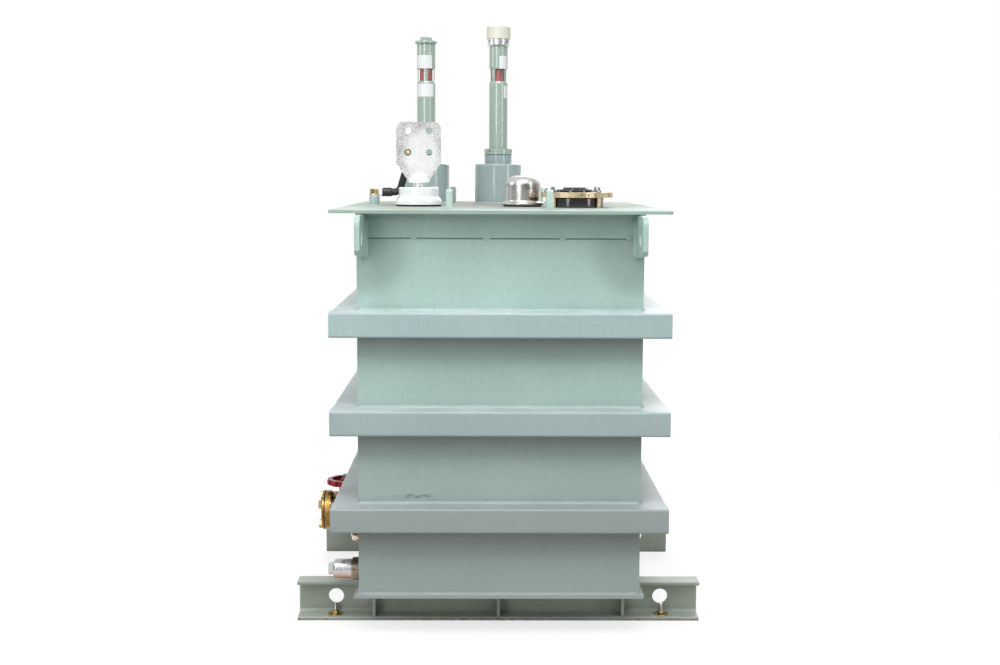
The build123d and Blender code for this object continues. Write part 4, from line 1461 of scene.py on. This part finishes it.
@dataclass
class Bushing:
    """Porcelain bushing, its stud and palm, and the sleeved earth link with its bolts."""

    bolt_recess: float = 1.2
    hole_spacing: float = 44.45
    hole_from_top: float = 18.5
    palm_thickness: float = 12.0
    link_tab: float = 3.0
    washer: float = 23.0
    head_height: float = 10.0
    bolt_depth: float = 14.0
    thread_into_washer: float = 1.0
    weld_seed: int = 910
    bead: WeldBead = field(default_factory=lambda: WeldBead(leg=3.0, crown=0.4))

    def build(self) -> None:
        """Dresses the terminal and adds its bolts."""
        dress(RUBBER, "bushing_gasket")
        dress(PORCELAIN, "bushing_porcelain")
        dress(TINNED, "terminal_stud")
        dress(CAST_PALM, "terminal_palm")
        dress(BOSS_PAINT, "earth_boss")
        dress(SLEEVE, "earth_link")
        self.palm_bolt()
        self.earth_bolt()

    def palm_bolt(self) -> None:
        """Bolt through the link's upper tab and the palm's lower left hole, its end inside the hole."""
        draft = Draft()
        low, high = span("terminal_palm")
        x = (low.x + high.x) / 2 - self.hole_spacing / 2
        z = high.z - self.hole_from_top - self.hole_spacing
        back = (low.y + high.y + self.palm_thickness) / 2 + self.link_tab
        place = place_at(x, back, z, (0, 1, 0))
        hardware = Hardware(Screw.M12)
        hardware.bolt(draft, place, self.washer)
        end = self.bolt_recess - self.palm_thickness - self.link_tab
        hardware.thread(draft, place, end, self.thread_into_washer)
        draft.piece("palm_bolt", ZINC)

    def earth_bolt(self) -> None:
        """Bolt and washer on the earth boss, over the link's lower tab, and a bead round the boss's foot."""
        low, high = span("earth_boss")
        x, y = (low.x + high.x) / 2, (low.y + high.y) / 2
        place = place_at(x, y, high.z + self.link_tab)
        hardware = Hardware(Screw.M12)
        washer, bolt, bead = Draft(), Draft(), Draft()
        rise = hardware.washer(washer, place, 0.0, self.washer)
        hardware.hexagon(bolt, place, rise, rise + self.head_height)
        hardware.thread(bolt, place, -self.bolt_depth, rise)
        self.bead.circle(bead, place_at(x, y, low.z), (high.x - low.x) / 2, self.weld_seed)
        washer.piece("earth_washer", BRIGHT_STEEL)
        bolt.piece("earth_bolt", AGED_ZINC)
        bead.piece("earth_boss_weld", BOSS_PAINT)


@dataclass
class Relief:
    """Pressure dome and pressure-relief device."""

    ring_radius: float = 70.0
    ring_sides: int = 24
    stud_circle: float = 65.0
    stud_turns: tuple[float, ...] = (45.0, 135.0, 225.0, 315.0)
    screw_turns: tuple[float, ...] = (64.0, 71.0, 152.0, 200.0)
    port_turns: tuple[float, ...] = (-105.0, -82.0, -70.0, 20.0, 60.0, 110.0, 160.0)
    stud_rise: float = 11.0
    screw_rise: float = 8.0
    port: SocketScrew = SocketScrew(2.2)
    x: float = field(init=False)
    y: float = field(init=False)
    bottom: float = field(init=False)
    top: float = field(init=False)

    def build(self) -> None:
        """Dresses both devices and adds nuts and ports."""
        dress(RUBBER, "dome_gasket")
        dress(DOME_METAL, "pressure_dome")
        dress(RELIEF_BLACK, "relief_base", "relief_cap")
        dress(ZINC, "relief_ring", "relief_legs")
        low, high = span("relief_legs")
        self.x, self.y = (low.x + high.x) / 2, (low.y + high.y) / 2
        self.bottom, self.top = (corner.z for corner in span("relief_ring"))
        self.nuts()
        self.ports()

    def nuts(self) -> None:
        """Nuts on the studs through the legs, and slim screws between them."""
        draft = Draft()
        hardware = Hardware(Screw.M5)
        for turns, rise in ((self.stud_turns, self.stud_rise), (self.screw_turns, self.screw_rise)):
            for turn in turns:
                angle = math.radians(turn)
                x = self.x + self.stud_circle * math.cos(angle)
                y = self.y + self.stud_circle * math.sin(angle)
                hardware.nut_and_stud(draft, place_at(x, y, self.top, turn_deg=turn), rise)
        draft.piece("relief_nuts", GREY_STEEL)

    def ports(self) -> None:
        """Dark screw ends round the ring's edge."""
        draft = Draft()
        flat = self.ring_radius * math.cos(math.pi / self.ring_sides)
        middle = Vector((self.x, self.y, (self.top + self.bottom) / 2))
        self.port.circle(draft, middle, flat, self.port_turns)
        draft.piece("relief_ports", DARK_STEEL)


@dataclass
class DrainValve:
    """Drain valve with its flange bolts, gasket and handwheel."""

    bolt_circle: float = 34.0
    bolt_turns: tuple[float, ...] = (57.0, 147.0, 237.0, 327.0)
    flange_gap: float = 2.5
    flange: float = 12.0
    joint_bore: float = 26.0
    joint_inset: float = 1.2
    joint_play: float = 0.05
    joint_bulge: float = 0.3
    joint_sides: int = 60
    stud_rise: float = 13.0
    nut_washer: float = 20.0
    nut_turn: float = 20.0
    wheel_stud_rise: float = 9.5
    weld_seed: int = 920
    bead: WeldBead = field(default_factory=lambda: WeldBead(leg=3.5))
    low: Vector = field(init=False)
    high: Vector = field(init=False)
    y: float = field(init=False)
    z: float = field(init=False)

    def build(self) -> None:
        """Dresses the valve and adds its bolts."""
        dress(BODY_BRASS, "drain_neck", "valve_body")
        dress(BRASS, "blank_flange")
        dress(WHEEL_RED, "handwheel")
        self.low, self.high = span("blank_flange")
        self.y, self.z = (self.low.y + self.high.y) / 2, (self.low.z + self.high.z) / 2
        self.bolts()
        self.gasket()
        self.wheel_nut()
        self.neck_weld()

    def bolts(self) -> None:
        """Bolts through the flange pair, heads outside and nuts towards the tank."""
        draft = Draft()
        hardware = Hardware(Screw.M12)
        back = self.high.x + self.flange
        for turn in self.bolt_turns:
            angle = math.radians(turn)
            y, z = self.y + self.bolt_circle * math.cos(angle), self.z + self.bolt_circle * math.sin(angle)
            place = place_at(self.low.x, y, z, (-1, 0, 0), turn_deg=turn)
            hardware.hexagon(draft, place, 0.0, hardware.screw.value.head)
            inner = place_at(back, y, z, (1, 0, 0), turn_deg=self.nut_turn)
            hardware.nut_and_stud(draft, inner, self.stud_rise, self.nut_washer)
        draft.piece("flange_bolts", BOLT_BRASS)

    def gasket(self) -> None:
        """Dark gasket that shows between the two flanges."""
        draft = Draft()
        rim = (self.high.z - self.low.z) / 2 - self.joint_inset
        thickness = self.flange_gap - 2 * self.joint_play
        outline = [(self.joint_bore, 0.0), (rim, 0.0), (rim + self.joint_bulge, thickness / 2),
                   (rim, thickness), (self.joint_bore, thickness)]
        place = place_at(self.high.x - self.flange_gap + self.joint_play, self.y, self.z, (1, 0, 0))
        draft.turned(outline, place, self.joint_sides, loop=True)
        draft.piece("flange_gasket", RUBBER)

    def wheel_nut(self) -> None:
        """Small nut that keeps the handwheel on its stem."""
        low, high = span("handwheel")
        draft = Draft()
        place = place_at((low.x + high.x) / 2, (low.y + high.y) / 2, high.z)
        Hardware(Screw.M8).nut_and_stud(draft, place, self.wheel_stud_rise)
        draft.piece("wheel_nut", GREY_STEEL, WHEEL_BODY)

    def neck_weld(self) -> None:
        """Bead round the neck's pad on the wall."""
        low, high = span("drain_neck")
        draft = Draft()
        place = place_at(high.x, self.y, self.z, (-1, 0, 0))
        self.bead.circle(draft, place, (high.z - low.z) / 2, self.weld_seed)
        draft.piece("neck_weld", WELD_PAINT)


@dataclass
class Plugs:
    """Drain plug and sampling plug low on the left wall."""

    drain_seed: int = 930
    sampling_seed: int = 940
    bead: WeldBead = field(default_factory=lambda: WeldBead(leg=3.0, crown=0.4))

    def build(self) -> None:
        """Dresses the plugs and adds the beads round their feet."""
        dress(PLUG_STEEL, "drain_plug")
        dress(PALE_BRASS, "sampling_plug")
        draft = Draft()
        for node, seed in (("drain_plug", self.drain_seed), ("sampling_plug", self.sampling_seed)):
            low, high = span(node)
            place = place_at(high.x, (low.y + high.y) / 2, (low.z + high.z) / 2, (-1, 0, 0))
            self.bead.circle(draft, place, (high.y - low.y) / 2, seed)
        draft.piece("plug_welds", WELD_PAINT)


@dataclass
class PhotoCamera:
    """Camera at the photograph's viewing angle; millimetres, radians, and metres for its reach."""

    place: Triple = (-29.8, -3047.9, 904.2)
    focal_pixels: float = 1400.0
    image_width: float = 1000.0
    sensor: float = 36.0
    yaw: float = 0.011
    pitch: float = -0.1132
    roll: float = 0.0045
    nearest: float = 0.05
    farthest: float = 100.0

    def build(self) -> None:
        """Makes the camera and looks through it."""
        across = Vector((math.cos(self.yaw), -math.sin(self.yaw), 0))
        level = Vector((math.sin(self.yaw), math.cos(self.yaw), 0))
        sky = Vector((0, 0, 1))
        ahead = level * math.cos(self.pitch) + sky * math.sin(self.pitch)
        above = sky * math.cos(self.pitch) - level * math.sin(self.pitch)
        right = across * math.cos(self.roll) + above * math.sin(self.roll)
        up = above * math.cos(self.roll) - across * math.sin(self.roll)
        data = bpy.data.cameras.new("photo_camera")
        data.sensor_width = self.sensor
        data.lens = self.focal_pixels / self.image_width * self.sensor
        data.clip_start, data.clip_end = self.nearest, self.farthest
        camera = bpy.data.objects.new("photo_camera", data)
        turn = Matrix((right, up, -ahead)).transposed().to_4x4()
        camera.matrix_world = Matrix.Translation(Vector(self.place) * MM) @ turn
        bpy.context.scene.collection.objects.link(camera)
        bpy.context.scene.camera = camera


@dataclass(frozen=True)
class Softbox:
    """One rectangular studio lamp that looks at a point; lengths in metres."""

    name: str
    place: Triple
    target: Triple
    width: float
    height: float
    watts: float
    colour: Colour = (1.0, 1.0, 1.0)

    def build(self) -> None:
        """Hangs the lamp."""
        data = bpy.data.lights.new(self.name, "AREA")
        data.shape = "RECTANGLE"
        data.size, data.size_y = self.width, self.height
        data.energy = self.watts
        data.color = self.colour
        lamp = bpy.data.objects.new(self.name, data)
        lamp.location = self.place
        lamp.rotation_euler = (Vector(self.target) - Vector(self.place)).to_track_quat("-Z", "Y").to_euler()
        bpy.context.scene.collection.objects.link(lamp)


@dataclass
class Studio:
    """Pale floor, white surroundings and soft lamps; lengths in metres."""

    floor_radius: float = 3.2
    floor_drop: float = 0.0006
    floor_thickness: float = 0.002
    floor_sides: int = 96
    floor_roughness: float = 0.9
    floor_fade: Pair = (0.35, 0.95)
    floor_colour: Colour = (0.36, 0.35, 0.315)
    floor_glow: float = 0.72
    glow_colour: Colour = (0.975, 0.98, 1.0)
    low_ambient: Colour = (0.16, 0.15, 0.135)
    high_ambient: Colour = (0.43, 0.45, 0.455)
    front_tone: float = 0.30
    horizon_band: Pair = (-0.3, 0.8)
    behind_band: Pair = (-0.2, 0.75)
    above_band: Pair = (0.05, 0.95)
    lamps: tuple[Softbox, ...] = (
        Softbox("key_softbox", (0.0, -2.35, 3.5), (0.0, -0.3, 0.7), 3.0, 1.6, 82.0, (0.97, 1.0, 1.0)),
        Softbox("left_softbox", (-1.3, -2.8, 1.6), (0.0, 0.0, 0.9), 0.95, 2.6, 29.0),
        Softbox("side_softbox", (-3.0, -0.4, 2.0), (0.0, 0.0, 0.5), 1.4, 1.4, 18.0),
        Softbox("right_softbox", (2.6, -1.9, 1.5), (0.0, 0.0, 0.9), 0.5, 2.6, 18.0),
        Softbox("rear_softbox", (0.6, 3.0, 2.4), (0.0, 0.0, 0.7), 2.0, 1.6, 45.0),
    )

    def build(self) -> None:
        """Sets the view, the surroundings, the floor and the lamps."""
        bpy.context.scene.view_settings.view_transform = "Standard"
        self.surroundings()
        self.floor()
        for lamp in self.lamps:
            lamp.build()

    def surroundings(self) -> None:
        """World that is white to the eye and a gentle light, with a dim front in reflections."""
        world = bpy.data.worlds.new("studio")
        bpy.context.scene.world = world
        world.use_nodes = True
        nodes = Nodes(world.node_tree, "Generated")
        height = nodes.level(nodes.axis("Z"), *self.horizon_band)
        light = nodes.mix(height, self.low_ambient, self.high_ambient)
        behind = nodes.level(nodes.axis("Y"), *self.behind_band, self.front_tone, 1.0)
        above = nodes.level(nodes.axis("Z"), *self.above_band, self.front_tone, 1.0)
        light = nodes.mix(nodes.ray("Is Glossy Ray"), light, nodes.sum_of("MAXIMUM", behind, above))
        light = nodes.mix(nodes.ray("Is Camera Ray", "Is Transmission Ray"), light, (1.0, 1.0, 1.0))
        nodes.feed(world.node_tree.nodes["Background"].inputs["Color"], light)

    def floor(self) -> None:
        """Round floor that fades into the white surroundings."""
        draft = Draft()
        radius = self.floor_radius / MM
        outline = [(radius, -self.floor_thickness / MM), (radius, 0.0)]
        draft.turned(outline, place_at(0, 0, -self.floor_drop / MM), self.floor_sides)
        mesh = bpy.data.meshes.new("floor")
        mesh.from_pydata([point * MM for point in draft.points], [], draft.faces)
        floor = bpy.data.objects.new("floor", mesh)
        mesh.materials.append(self.floor_material())
        bpy.context.scene.collection.objects.link(floor)

    def floor_material(self) -> bpy.types.Material:
        """Pale matt floor, clear towards its rim.

        Returns:
            The floor's material.
        """
        shader = Shader("studio_floor")
        centre = shader.node("ShaderNodeVectorMath", {"operation": "LENGTH"})
        shader.feed(centre.inputs[0], shader.place)
        near, far = (self.floor_radius * share for share in self.floor_fade)
        cover = shader.level(centre.outputs["Value"], near, far, 1.0, 0.0)
        seen = shader.ray("Is Camera Ray", "Is Glossy Ray", "Is Transmission Ray")
        glow = shader.sum_of("MULTIPLY", seen, self.floor_glow)
        return shader.dress(Base_Color=self.floor_colour, Roughness=self.floor_roughness, Alpha=cover,
                            Emission_Color=self.glow_colour, Emission_Strength=glow)


def main() -> None:
    """Builds the studio, then each sub-assembly."""
    logging.basicConfig(level=logging.INFO, format="%(message)s")
    parts = (
        Studio(),
        PhotoCamera(),
        Skids(),
        Tank(),
        Lugs(),
        GaugeColumn(side="left", sticker_turns=((-190.0, -48.0), (-190.0, -35.0)),
                    sticker_heights=((1143.0, 1173.0), (1079.0, 1108.5))),
        GaugeColumn(side="right", sticker_turns=((-85.0, 15.0), (-55.0, 15.0)),
                    sticker_heights=((1143.0, 1172.0), (1076.5, 1104.5))),
        GaugeTops(),
        Bushing(),
        Relief(),
        DrainValve(),
        Plugs(),
    )
    for part in parts:
        log.info("building %s", type(part).__name__)
        part.build()


if __name__ == "__main__":
    main()
